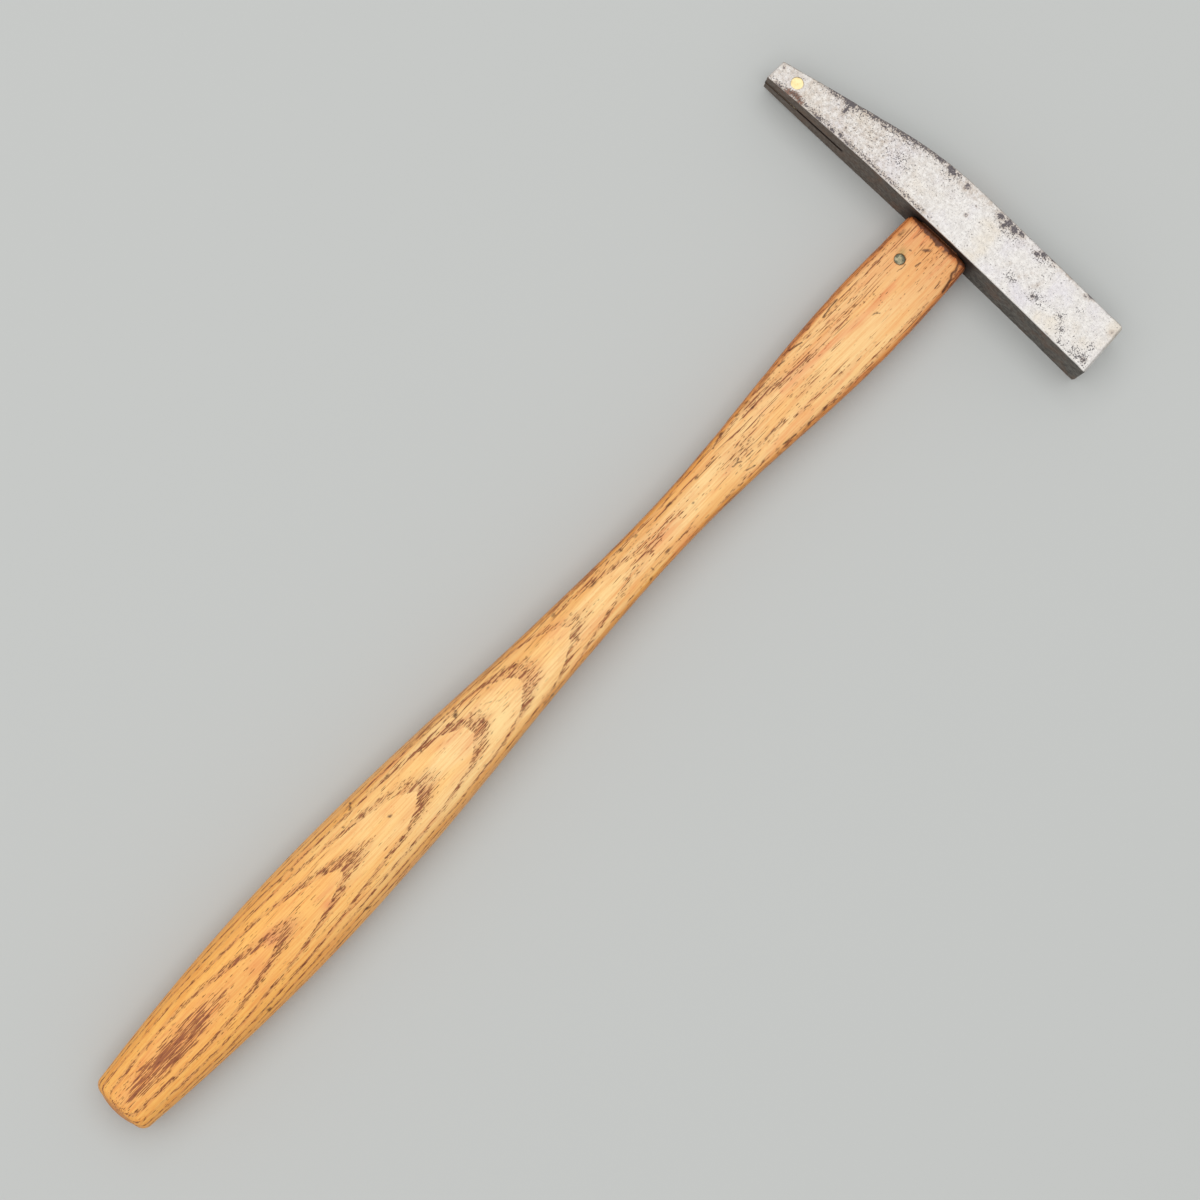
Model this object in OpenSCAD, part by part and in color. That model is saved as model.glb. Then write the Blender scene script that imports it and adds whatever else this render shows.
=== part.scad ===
// Magnetic tack hammer, lying on its cheek.
// +X runs along the handle from the butt to the head, +Y along the head to its magnetic tip, and +Z up.
// The origin is under the middle of the hammer, in the plane that the belly of the grip rests on.

/* [Head] */
// Length of the head along its underside, from the striking face to the magnetic tip
head_length = 113.2; // [100:0.1:126]
// Distance from the striking face to the centre of the eye
eye_from_face = 51.2; // [46:0.1:56]
// Thickness of the head between its cheeks
head_thickness = 13; // [12:0.1:15]
// Depth of the head at the striking face, from underside to top
face_depth = 16.1; // [14:0.1:18]
// Depth of the head at the magnetic tip
tip_depth = 6.2; // [5:0.1:7.5]
// Depth of the head over the eye, where its top is highest
crest_depth = 16.7; // [14.5:0.1:19]
// Distance from the tip to the highest point of the crest
crest_from_tip = 61; // [56:0.5:68]
// Radius of the crest, which the sloping top runs into
crest_radius = 115; // [90:5:170]
// Height of the shallow arch along the underside
underside_arch = 0.8; // [0.3:0.1:1.2]
// Lean of the striking face, in degrees
face_lean = 2; // [0:0.5:8]
// Lean of the end of the tip, in degrees
tip_lean = 2.5; // [0:0.5:10]
// Width of the bevel round the striking face
face_bevel = 0.6; // [0.3:0.1:1]

/* [Magnetic tip] */
// Thickness of the head at its tip
tip_thickness = 8.6; // [7.5:0.1:9.5]
// Length over which the cheeks curve in to the tip
cheek_taper_length = 40; // [32:1:44]
// Length of the slot that splits the tip into two poles
slot_length = 27; // [22:0.1:32]
// Width of the slot
slot_width = 0.8; // [0.6:0.1:1.2]
// Length of the spacer that fills the outer end of the slot
spacer_length = 11.2; // [9.5:0.1:14]
// Diameter of the rivet through the poles and the spacer
rivet_diameter = 3.4; // [2.5:0.1:3.8]
// Distance from the tip to the rivet
rivet_from_tip = 6.8; // [5.5:0.1:7.2]
// Distance from the underside to the rivet
rivet_rise = 4.1; // [3.5:0.1:4.4]

/* [Eye] */
// Length of the eye along the head
eye_length = 15; // [12:0.5:17]
// Width of the eye across the head
eye_width = 6; // [5:0.1:6.6]
// Thickness of the wedge at the top of the eye
wedge_thickness = 1.8; // [1.4:0.1:2.2]
// Thickness of the wedge at its driven end
wedge_point = 0.6; // [0.4:0.1:0.8]
// Length of the wedge
wedge_length = 11; // [8:0.5:12]
// Width of the saw cut that the wedge is driven into
kerf_width = 0.8; // [0.5:0.1:1]
// Length of the saw cut below the wedge
kerf_extra = 2.5; // [1:0.5:4]

/* [Handle] */
// Length of the handle from the butt to its shoulder under the head
handle_length = 306.7; // [280:0.1:360]
// Width at the butt
butt_width = 16.6; // [14:0.1:19]
// Width at the palm swell
palm_width = 22.2; // [20:0.1:24]
// Width at the belly of the grip, where the handle is widest
belly_width = 25.1; // [22:0.1:29]
// Width where the long taper starts
fore_width = 23.9; // [21:0.1:26]
// Width in the lower part of the long taper
taper_width = 15.9; // [14.5:0.1:18]
// Width at the waist, where the handle is narrowest
waist_width = 13.1; // [11.5:0.1:14.5]
// Width at the neck
neck_width = 21.7; // [20.4:0.1:24]
// Width at the shoulder under the head
shoulder_width = 20.6; // [20:0.1:22.5]
// Thickness at the butt
butt_thickness = 11.6; // [10:0.1:13]
// Thickness at the belly of the grip
belly_thickness = 16.4; // [15.4:0.1:19]
// Thickness at the waist
waist_thickness = 10.8; // [9.5:0.1:12]
// Thickness at the neck
neck_thickness = 9.2; // [9:0.1:11]
// Thickness at the shoulder
shoulder_thickness = 8.8; // [8.7:0.1:10.5]
// Distance from the butt to the palm swell
palm_from_butt = 30; // [22:1:40]
// Distance from the butt to the belly
belly_from_butt = 72; // [60:1:80]
// Distance from the butt to the start of the long taper
fore_from_butt = 98; // [88:1:108]
// Distance from the waist back to the lower part of the long taper
taper_from_waist = 42; // [32:1:50]
// Distance from the shoulder to the waist
waist_from_shoulder = 103.7; // [92:0.1:112]
// Distance from the shoulder to the neck
neck_from_shoulder = 25.7; // [20:0.1:34]
// Height of the dome on the butt
butt_dome = 1; // [0.4:0.1:1.6]
// Rounding of the edge round the butt
butt_rounding = 2.4; // [1.2:0.1:3]
// Rounding of the edge of the shoulder
shoulder_rounding = 1.2; // [0.6:0.1:1.3]
// Share of the width that stays flat on top at the neck
neck_flat = 0.78; // [0.6:0.01:0.85]

/* [Neck pin] */
// Diameter of the pin through the neck
pin_diameter = 3; // [2:0.1:3.5]
// Distance from the shoulder to the pin
pin_from_shoulder = 11.7; // [8:0.1:16]
// Offset of the pin from the middle of the handle towards the magnetic tip
pin_offset = 4.2; // [0:0.1:5]

// Depth of each end of the pin below the thickest line of the neck
pin_recess = 0.1; // [0:0.05:0.4]

/* [Fits] */
// Gap between the shoulder and the underside of the head
shoulder_gap = 0.3; // [0.1:0.1:0.6]
// Gap on each side of the tenon, the wedge and the spacer
tenon_clearance = 0.04; // [0.02:0.01:0.1]
// Gap round the rivet and the pin
pin_clearance = 0.02; // [0.01:0.01:0.05]

/* [Hidden] */
$fn = 96;
section_points = 32;
body_steps = 34;
spare = 1;

mid_height = max(belly_thickness, head_thickness) / 2;
tip_y = head_length - eye_from_face;
face_y = -eye_from_face;
top_of_eye = handle_length + shoulder_gap;
underside_x = top_of_eye - underside_arch;
overall_length = underside_x + crest_depth;
arch_radius = (pow(head_length / 2, 2) + pow(underside_arch, 2)) / (2 * underside_arch);
taper_start_y = tip_y - cheek_taper_length;
cheek_drop = (head_thickness - tip_thickness) / 2;
cheek_radius = (pow(cheek_taper_length, 2) + pow(cheek_drop, 2)) / (2 * cheek_drop);
waist_x = handle_length - waist_from_shoulder;
taper_x = waist_x - taper_from_waist;
neck_x = handle_length - neck_from_shoulder;
rivet_x = underside_x + rivet_rise;
rivet_y = tip_y - rivet_from_tip;
pin_x = handle_length - pin_from_shoulder;
wedge_base_x = overall_length - wedge_length;

// Each station of the handle is [distance from the butt, size there].
width_stations = [
    [0, butt_width],
    [palm_from_butt, palm_width],
    [belly_from_butt, belly_width],
    [fore_from_butt, fore_width],
    [taper_x, taper_width],
    [waist_x, waist_width],
    [neck_x, neck_width],
    [handle_length, shoulder_width]
];
thickness_stations = [
    [0, butt_thickness],
    [belly_from_butt, belly_thickness],
    [waist_x, waist_thickness],
    [neck_x, neck_thickness],
    [handle_length, shoulder_thickness]
];

// Slope of a list of stations at one of them, level where the sizes turn from growing to shrinking.
function span(list, i) = list[i + 1][0] - list[i][0];
function rise(list, i) = (list[i + 1][1] - list[i][1]) / span(list, i);
function slope(list, i) =
    i == 0 ? 1.5 * rise(list, 0) - slope(list, 1) / 2
    : i == len(list) - 1 ? 1.5 * rise(list, i - 1) - slope(list, i - 1) / 2
    : rise(list, i) * rise(list, i - 1) <= 0 ? 0
    : (rise(list, i) * span(list, i - 1) + rise(list, i - 1) * span(list, i))
        / (span(list, i - 1) + span(list, i));

// Size at a distance from the butt, on the smooth curve through the stations.
function stretch(list, x, i = 0) =
    (i == len(list) - 2 || x <= list[i + 1][0]) ? i : stretch(list, x, i + 1);
function blend(list, x, i, u) =
    (2 * u * u * u - 3 * u * u + 1) * list[i][1]
    + (u * u * u - 2 * u * u + u) * span(list, i) * slope(list, i)
    + (3 * u * u - 2 * u * u * u) * list[i + 1][1]
    + (u * u * u - u * u) * span(list, i) * slope(list, i + 1);
function size_at(list, x) =
    let (i = stretch(list, x))
    blend(list, x, i, (x - list[i][0]) / span(list, i));

// The section is oval at the grip, and flat with bevelled edges from the waist to the head.
// Its power squares the corners off, and its bevel share draws the line of the bevels in.
grip_power = 2.6;
neck_power = 8;
grip_bevel = 0.52;
neck_bevel = 1 / (1 + neck_flat);
function ease(u) = let (v = min(max(u, 0), 1)) v * v * (3 - 2 * v);
function flatness(x) = ease((x - belly_from_butt) / (waist_x - belly_from_butt));
function section_power(x) = grip_power + (neck_power - grip_power) * flatness(x);
function bevel_share(x) = grip_bevel + (neck_bevel - grip_bevel) * flatness(x);
function section_radius(c, s, p, k) =
    pow(pow(abs(c), p) + pow(abs(s), p) + pow(k * (abs(c) + abs(s)), p), -1 / p);
function section_scale(p, k) = pow(1 + pow(k, p), 1 / p);

// One ring of points: x is its place, shape_x gives its section, and inset draws it in.
function ring(x, shape_x, inset, share = 1) =
    let (
        p = section_power(shape_x),
        k = bevel_share(shape_x),
        half_width = share * (size_at(width_stations, shape_x) / 2 - inset),
        half_thickness = share * (size_at(thickness_stations, shape_x) / 2 - inset)
    )
    [
        for (i = [0 : section_points - 1])
            let (
                a = 360 * i / section_points,
                r = section_radius(cos(a), sin(a), p, k) * section_scale(p, k)
            )
            [x, half_width * r * cos(a), half_thickness * r * sin(a)]
    ];

function quarter_inset(radius, a) = radius * (1 - sin(a));
function quarter_reach(radius, a) = radius * (1 - cos(a));

// Rings of the domed butt, its rounded edge, the body, and the rounded edge of the shoulder.
dome_rings = [
    for (share = [0.35, 0.7, 0.9])
        ring(butt_dome * share * share, 0, butt_rounding, share)
];
butt_rings = [
    for (a = [0 : 22.5 : 67.5])
        ring(butt_dome + quarter_reach(butt_rounding, a), butt_dome + quarter_reach(butt_rounding, a),
            quarter_inset(butt_rounding, a))
];
body_from = butt_dome + butt_rounding;
body_to = handle_length - shoulder_rounding;
body_rings = [
    for (i = [0 : body_steps])
        let (x = body_from + (body_to - body_from) * i / body_steps)
        ring(x, x, 0)
];
shoulder_rings = [
    for (a = [60, 30, 0])
        ring(handle_length - quarter_reach(shoulder_rounding, a),
            handle_length - quarter_reach(shoulder_rounding, a), quarter_inset(shoulder_rounding, a))
];
handle_rings = concat(dome_rings, butt_rings, body_rings, shoulder_rings);
handle_points = concat(
    [[0, 0, 0]],
    [for (r = handle_rings) for (point = r) point],
    [[handle_length, 0, 0]]
);
last_point = len(handle_points) - 1;
last_ring = len(handle_rings) - 1;
function at(r, i) = 1 + r * section_points + (i % section_points);
handle_faces = concat(
    [for (i = [0 : section_points - 1]) [0, at(0, i), at(0, i + 1)]],
    [
        for (r = [0 : last_ring - 1])
            for (i = [0 : section_points - 1])
                [at(r, i), at(r + 1, i), at(r + 1, i + 1)]
    ],
    [
        for (r = [0 : last_ring - 1])
            for (i = [0 : section_points - 1])
                [at(r, i), at(r + 1, i + 1), at(r, i + 1)]
    ],
    [for (i = [0 : section_points - 1]) [last_point, at(last_ring, i + 1), at(last_ring, i)]]
);

// Points of an arc, from one angle to another.
function arc(centre, radius, from, to, steps = 12, first = 0) = [
    for (i = [first : steps])
        let (a = from + (to - from) * i / steps)
        [centre[0] + radius * cos(a), centre[1] + radius * sin(a)]
];

// Angle at which a straight line from a corner touches an arc, on the side that side gives.
function touch_angle(corner, centre, radius, side) =
    let (d = corner - centre)
    atan2(d[1], d[0]) - side * acos(radius / norm(d));

// Corners and arcs of the side outline of the head, in the plane of its cheeks.
tip_top = [underside_x + tip_depth, tip_y - tip_depth * tan(tip_lean)];
face_top = [underside_x + face_depth, face_y + face_depth * tan(face_lean) + face_bevel];
crest_centre = [underside_x + crest_depth - crest_radius, tip_y - crest_from_tip];
tip_touch = touch_angle(tip_top, crest_centre, crest_radius, 1);
face_touch = touch_angle(face_top, crest_centre, crest_radius, -1);
arch_centre = [top_of_eye - arch_radius, (tip_y + face_y) / 2];
arch_angle = asin(head_length / 2 / arch_radius);
bevelled_arch_angle = asin((head_length / 2 - face_bevel) / arch_radius);
face_reach = face_depth - face_bevel * cos(face_lean);

module place() {
    translate([-overall_length / 2, -arch_centre[1], mid_height])
        children();
}

module side_outline() {
    polygon(concat(
        [tip_top],
        arc(arch_centre, arch_radius, arch_angle, -bevelled_arch_angle),
        [
            [underside_x + face_bevel * cos(face_lean), face_y + face_bevel * sin(face_lean)],
            [underside_x + face_reach, face_y + face_reach * tan(face_lean)],
            face_top
        ],
        arc(crest_centre, crest_radius, face_touch, 0, steps = 3),
        arc(crest_centre, crest_radius, 0, tip_touch, first = 1)
    ));
}

// Plan outline of the head across its cheeks, as [length along the head, height].
module plan_outline() {
    cheek = arc([taper_start_y, head_thickness / 2 - cheek_radius], cheek_radius,
        90, 90 - asin(cheek_taper_length / cheek_radius));
    polygon(concat(
        [[face_y, head_thickness / 2]],
        cheek,
        [for (i = [len(cheek) - 1 : -1 : 0]) [cheek[i][0], -cheek[i][1]]],
        [[face_y, -head_thickness / 2]]
    ));
}

module plan_solid() {
    translate([underside_x - spare, 0, 0])
        rotate([90, 0, 90])
            linear_extrude(crest_depth + 2 * spare)
                plan_outline();
}

module side_solid() {
    translate([0, 0, -head_thickness])
        linear_extrude(2 * head_thickness)
            side_outline();
}

module head_blank() {
    intersection() {
        side_solid();
        plan_solid();
    }
}

// Stadium-shaped bar along X for the eye, the tenon and the wedge.
module eye_bar(from_x, to_x, gap) {
    radius = eye_width / 2 - gap;
    straight = eye_length - eye_width;
    translate([from_x, 0, 0])
        rotate([90, 0, 90])
            linear_extrude(to_x - from_x) {
                square([straight, 2 * radius], center = true);
                for (side = [-1, 1])
                    translate([side * straight / 2, 0])
                        circle(radius);
            }
}

// Cut that bevels the edge between the striking face and one cheek.
module cheek_bevel_cut(side) {
    diagonal = sqrt(2) * face_bevel;
    translate([underside_x, face_y, side * head_thickness / 2])
        rotate([0, 0, face_lean])
            rotate([45, 0, 0])
                cube([3 * face_depth, diagonal, diagonal], center = true);
}

module head() {
    color("silver")
        place()
            difference() {
                head_blank();
                for (side = [-1, 1])
                    cheek_bevel_cut(side);
                eye_bar(underside_x - spare, overall_length + spare, 0);
                translate([underside_x - spare, tip_y - slot_length, -slot_width / 2])
                    cube([crest_depth + 2 * spare, slot_length + spare, slot_width]);
                translate([rivet_x, rivet_y, -head_thickness])
                    cylinder(h = 2 * head_thickness, d = rivet_diameter);
            }
}

module pole_spacer() {
    thickness = slot_width - 2 * tenon_clearance;
    color("goldenrod")
        place()
            difference() {
                intersection() {
                    head_blank();
                    translate([underside_x - spare, tip_y - spacer_length, -thickness / 2])
                        cube([crest_depth + 2 * spare, spacer_length + spare, thickness]);
                }
                translate([rivet_x, rivet_y, -slot_width])
                    cylinder(h = 2 * slot_width, d = rivet_diameter);
            }
}

module spacer_rivet() {
    color("gold")
        place()
            intersection() {
                plan_solid();
                translate([rivet_x, rivet_y, -head_thickness])
                    cylinder(h = 2 * head_thickness, d = rivet_diameter - 2 * pin_clearance);
            }
}

// The wedge outline is [length along X, height], widened by a gap for the cut that takes it.
module wedge_outline(gap) {
    top = wedge_thickness / 2 + gap;
    point = wedge_point / 2 + gap;
    polygon([
        [wedge_base_x, -point],
        [overall_length + spare, -top],
        [overall_length + spare, top],
        [wedge_base_x, point]
    ]);
}

module wedge_bar(gap) {
    translate([0, eye_length, 0])
        rotate([90, 0, 0])
            linear_extrude(2 * eye_length)
                wedge_outline(gap);
}

module handle() {
    color("burlywood")
        place()
            difference() {
                union() {
                    polyhedron(points = handle_points, faces = handle_faces);
                    intersection() {
                        eye_bar(handle_length - eye_width, overall_length + spare, tenon_clearance);
                        union() {
                            side_solid();
                            translate([handle_length - 2 * eye_width, -eye_length, -eye_width])
                                cube([2 * eye_width + shoulder_gap, 2 * eye_length, 2 * eye_width]);
                        }
                    }
                }
                wedge_bar(tenon_clearance);
                translate([wedge_base_x - kerf_extra, -eye_length, -kerf_width / 2])
                    cube([kerf_extra + spare, 2 * eye_length, kerf_width]);
                translate([pin_x, pin_offset, -head_thickness])
                    cylinder(h = 2 * head_thickness, d = pin_diameter);
            }
}

module eye_wedge() {
    color("saddlebrown")
        place()
            intersection() {
                wedge_bar(0);
                eye_bar(wedge_base_x, overall_length + spare, tenon_clearance);
                side_solid();
            }
}

module neck_pin() {
    pin_length = size_at(thickness_stations, pin_x) - 2 * pin_recess;
    color("darkkhaki")
        place()
            translate([pin_x, pin_offset, -pin_length / 2])
                cylinder(h = pin_length, d = pin_diameter - 2 * pin_clearance);
}

head();
pole_spacer();
spacer_rivet();
handle();
eye_wedge();
neck_pin();
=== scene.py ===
"""Magnetic tack hammer: its looks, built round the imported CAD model.

The classes below hold lengths in millimetres in the hammer's own frame: x runs from the butt to the
head, y across it to the magnetic tip, and z up from its middle plane. to_row() turns that frame into
the row frame, in metres.
"""

import logging
import math
from collections.abc import Callable
from dataclasses import dataclass, field
from enum import Enum

import bpy
import numpy as np
from mathutils import Matrix


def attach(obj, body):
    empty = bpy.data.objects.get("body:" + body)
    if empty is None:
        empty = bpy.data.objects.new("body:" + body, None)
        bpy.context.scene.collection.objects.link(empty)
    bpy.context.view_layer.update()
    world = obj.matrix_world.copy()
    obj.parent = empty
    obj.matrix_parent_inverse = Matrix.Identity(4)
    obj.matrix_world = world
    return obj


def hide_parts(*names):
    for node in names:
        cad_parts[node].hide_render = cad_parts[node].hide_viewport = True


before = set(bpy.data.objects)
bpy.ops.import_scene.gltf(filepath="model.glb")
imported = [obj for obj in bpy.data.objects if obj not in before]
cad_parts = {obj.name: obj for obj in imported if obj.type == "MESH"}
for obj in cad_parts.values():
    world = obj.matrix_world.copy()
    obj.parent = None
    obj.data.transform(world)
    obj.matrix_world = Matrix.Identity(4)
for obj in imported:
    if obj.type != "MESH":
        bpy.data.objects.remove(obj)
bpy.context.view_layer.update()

log = logging.getLogger("tack_hammer")

MM = 0.001
BODY = "root"
HASH_PRIMES = (73856093, 19349663, 83492791)
SEED_PRIME = 2654435761
STIR_PRIME = 1274126177
WORD = 0xFFFFFFFF
HALF_WORD = 0xFFFF
LATTICE_SHIFT = 1000
HOLE_POINTS = 64
PICK_SOFTNESS = 0.04
MIX_SHARE, MIX_UNDER, MIX_OVER, MIX_RESULT = 0, 6, 7, 2

Array = np.ndarray
Solid = bpy.types.Object
Socket = bpy.types.NodeSocket
Rgb = tuple[int, int, int]
Triple = tuple[float, float, float]
Pairs = tuple[tuple[float, float], ...]
Span = tuple[float, float, float, float]
Cells = float | Triple


class Carve(Enum):
    """What a cutting shape does to a body."""

    CUT = "DIFFERENCE"
    JOIN = "UNION"


class Mixing(Enum):
    """How one colour is laid over another."""

    COVER = "MIX"
    SHADE = "MULTIPLY"


class Axis(Enum):
    """Direction in which an outline is drawn out into a solid."""

    X = 0
    Y = 1
    Z = 2


@dataclass(frozen=True)
class Layout:
    """Sizes that several pieces share, as the CAD model has them."""

    handle_length: float = 306.7
    head_length: float = 113.2
    eye_from_face: float = 51.2
    head_thickness: float = 13.0
    belly_thickness: float = 16.4
    underside_arch: float = 0.8
    crest_depth: float = 16.7
    shoulder_gap: float = 0.3
    eye_length: float = 15.0
    eye_width: float = 6.0

    @property
    def top_of_eye(self) -> float:
        """Height of the middle of the head's underside above the butt."""
        return self.handle_length + self.shoulder_gap

    @property
    def underside(self) -> float:
        """Height of the ends of the head's underside above the butt."""
        return self.top_of_eye - self.underside_arch

    @property
    def overall_length(self) -> float:
        """Length of the whole hammer."""
        return self.underside + self.crest_depth

    @property
    def tip(self) -> float:
        """Place of the magnetic tip along the head."""
        return self.head_length - self.eye_from_face

    @property
    def face(self) -> float:
        """Place of the striking face along the head."""
        return -self.eye_from_face

    @property
    def middle(self) -> float:
        """Middle of the head between its two ends."""
        return (self.tip + self.face) / 2

    @property
    def offset(self) -> Array:
        """Shift from the hammer's own frame to the row frame."""
        return np.array([-self.overall_length / 2, -self.middle, self.belly_thickness / 2])


LAYOUT = Layout()


@dataclass(frozen=True)
class Mark:
    """A dent, stain or nick at one place: two reaches, a turn in degrees, a depth and a darkness."""

    x: float
    y: float
    reach_x: float
    reach_y: float
    turn: float = 0.0
    depth: float = 0.0
    stain: float = 1.0

    def weight(self, x: Array, y: Array) -> Array:
        """Share of the mark at each point, 1 in its middle.

        Args:
            x: First coordinate of the points.
            y: Second coordinate of the points.

        Returns:
            Values from 0 to 1.
        """
        angle = math.radians(self.turn)
        across = (x - self.x) * math.cos(angle) + (y - self.y) * math.sin(angle)
        along = (y - self.y) * math.cos(angle) - (x - self.x) * math.sin(angle)
        distance = np.hypot(across / self.reach_x, along / self.reach_y)
        return np.exp(-distance ** 2)


@dataclass(frozen=True)
class Streak:
    """A crack, scratch or row of pores along a path: its half width, depth, darkness and soft left side."""

    path: Pairs
    width: float
    depth: float = 0.0
    stain: float = 1.0
    soft_left: float = 0.0

    def weight(self, x: Array, y: Array) -> Array:
        """Share of the streak at each point, 1 on its path.

        Args:
            x: First coordinate of the points.
            y: Second coordinate of the points.

        Returns:
            Values from 0 to 1.
        """
        best = np.full(len(x), np.inf)
        for (from_x, from_y), (to_x, to_y) in zip(self.path, self.path[1:]):
            run_x, run_y = to_x - from_x, to_y - from_y
            share = np.clip(((x - from_x) * run_x + (y - from_y) * run_y) / (run_x ** 2 + run_y ** 2), 0, 1)
            off_x, off_y = x - from_x - share * run_x, y - from_y - share * run_y
            reach = self.width + self.soft_left * (off_y > 0)
            best = np.minimum(best, np.hypot(off_x, off_y) / reach)
        return np.exp(-best ** 2)


def to_row(points: Array) -> Array:
    """Turns points of the hammer's own frame into the row frame."""
    return (np.asarray(points, float) + LAYOUT.offset) * MM


def from_row(points: Array) -> Array:
    """Turns points of the row frame into the hammer's own frame."""
    return np.asarray(points, float) / MM - LAYOUT.offset


def smooth(low: float, high: float, value: Array) -> Array:
    """Smooth step from 0 at low to 1 at high."""
    share = np.clip((np.asarray(value, float) - low) / (high - low), 0, 1)
    return share * share * (3 - 2 * share)


def between(span: Span, value: Array) -> Array:
    """Span with soft ends."""
    rise, full, fall, end = span
    return smooth(rise, full, value) * smooth(end, fall, value)


def bell(value: Array, reach: float | Array) -> Array:
    """Bell curve, 1 at zero and low beyond its reach."""
    return np.exp(-(value / reach) ** 2)


def highest(*fields: Array) -> Array:
    """Highest of several fields at each point."""
    return np.maximum.reduce(fields)


def lattice(points: Array, cell: Triple, seed: int) -> Array:
    """Smooth random field, the same on each run.

    Args:
        points: Points at which the field is read, one to a row.
        cell: Size of the field's cells along each axis.
        seed: Number that picks the field.

    Returns:
        Values from -1 to 1.
    """
    scaled = points / np.array(cell) + LATTICE_SHIFT
    low = np.floor(scaled).astype(np.int64)
    share = smooth(0, 1, scaled - low)
    total = np.zeros(len(points))
    for corner in range(8):
        step = np.array([corner & 1, corner >> 1 & 1, corner >> 2 & 1])
        mixed = np.bitwise_xor.reduce((low + step) * np.array(HASH_PRIMES), axis=1) ^ seed * SEED_PRIME
        mixed = (mixed ^ (mixed >> 13)) * STIR_PRIME & WORD
        mixed = (mixed ^ (mixed >> 16)) & HALF_WORD
        weight = np.prod(np.where(step == 1, share, 1 - share), axis=1)
        total += weight * (2 * mixed / HALF_WORD - 1)
    return total


def patches(points: Array, cell: Triple, seed: int, low: float,
            high: float) -> Array:
    """Random patches with soft edges."""
    return smooth(low, high, lattice(points, cell, seed))


def strongest(marks: list[Mark | Streak], x: Array, y: Array) -> Array:
    """Darkest of several marks at each point."""
    return highest(*(mark.stain * mark.weight(x, y) for mark in marks))


def printed(marks: list[Mark | Streak], x: Array, y: Array,
            where: Array) -> tuple[Array, Array]:
    """Depth and darkness that marks leave at each point.

    Args:
        marks: The marks.
        x: First coordinate of the points.
        y: Second coordinate of the points.
        where: Share of the marks that each point takes.

    Returns:
        Depths in millimetres, and darkness from 0 to 1.
    """
    depth, stain = np.zeros(len(x)), np.zeros(len(x))
    for mark in marks:
        weight = mark.weight(x, y) * where
        depth += mark.depth * weight
        stain = np.maximum(stain, mark.stain * weight)
    return depth, stain


def linear(rgb: Rgb) -> tuple[float, float, float, float]:
    """Turns a screen colour into the one that a shader takes."""
    parts = [(c / 255 / 12.92) if c <= 10 else ((c / 255 + 0.055) / 1.055) ** 2.4 for c in rgb]
    return (parts[0], parts[1], parts[2], 1.0)


def write_fields(mesh: bpy.types.Mesh, fields: dict[str, Array]) -> None:
    """Stores values for each vertex, under the names by which the material reads them.

    Args:
        mesh: Mesh that takes the values.
        fields: One number, or one row of three, for each vertex.
    """
    for name, values in fields.items():
        kind, key = ("FLOAT", "value") if values.ndim == 1 else ("FLOAT_VECTOR", "vector")
        layer = mesh.attributes.new(name, kind, "POINT")
        layer.data.foreach_set(key, values.astype(np.float32).ravel())


def coordinates(mesh: bpy.types.Mesh, key: str = "co") -> Array:
    """Reads one vector for each vertex: its place in the row frame, or its normal.

    Args:
        mesh: Mesh that is read.
        key: Blender's name of the vector.

    Returns:
        The vectors, one to a row.
    """
    values = np.empty(len(mesh.vertices) * 3, np.float32)
    mesh.vertices.foreach_get(key, values)
    return values.reshape(-1, 3).astype(float)


def read_vertices(mesh: bpy.types.Mesh) -> tuple[Array, Array]:
    """Reads a mesh into numbers."""
    return from_row(coordinates(mesh)), coordinates(mesh, "normal")


def move_vertices(mesh: bpy.types.Mesh, points: Array) -> None:
    """Writes new places for all vertices."""
    mesh.vertices.foreach_set("co", to_row(points).astype(np.float32).ravel())
    mesh.update()


def object_of(name: str, points: Array, faces: list[tuple[int, ...]]) -> Solid:
    """Makes an object from points and faces.

    Args:
        name: Name of the object and its mesh.
        points: Points in the hammer's own frame.
        faces: Corner numbers of each face.

    Returns:
        The new object, linked to the scene.
    """
    mesh = bpy.data.meshes.new(name)
    mesh.from_pydata(to_row(points).tolist(), [], faces)
    mesh.validate()
    made = bpy.data.objects.new(name, mesh)
    bpy.context.scene.collection.objects.link(made)
    return made


def skin_rings(name: str, rings: Array) -> Solid:
    """Draws a closed skin over rings of points, with a fan over each end.

    Args:
        name: Name of the object.
        rings: Array of rings, of points in a ring, and of three coordinates.

    Returns:
        The new object.
    """
    count, round_count = rings.shape[:2]
    points = np.vstack([rings.reshape(-1, 3), rings[0].mean(0), rings[-1].mean(0)])
    here = np.arange(round_count)
    after = np.roll(here, -1)
    faces = []
    for r in range(count - 1):
        low, high = r * round_count, (r + 1) * round_count
        faces += list(zip((low + here).tolist(), (low + after).tolist(),
                          (high + after).tolist(), (high + here).tolist()))
    first, last = len(points) - 2, len(points) - 1
    top = (count - 1) * round_count
    faces += [(first, b, a) for a, b in zip(here.tolist(), after.tolist())]
    faces += [(last, top + a, top + b) for a, b in zip(here.tolist(), after.tolist())]
    made = object_of(name, points, faces)
    turn_outwards(made)
    return made


def turn_outwards(made: Solid) -> None:
    """Turns the faces of a closed mesh outwards.

    Args:
        made: Object whose mesh is turned if its volume comes out below zero.
    """
    mesh = made.data
    mesh.calc_loop_triangles()
    corners = np.empty(len(mesh.loop_triangles) * 3, np.int32)
    mesh.loop_triangles.foreach_get("vertices", corners)
    a, b, c = coordinates(mesh)[corners.reshape(-1, 3)].transpose(1, 0, 2)
    if np.einsum("ij,ij->i", a, np.cross(b, c)).sum() < 0:
        mesh.flip_normals()


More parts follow.
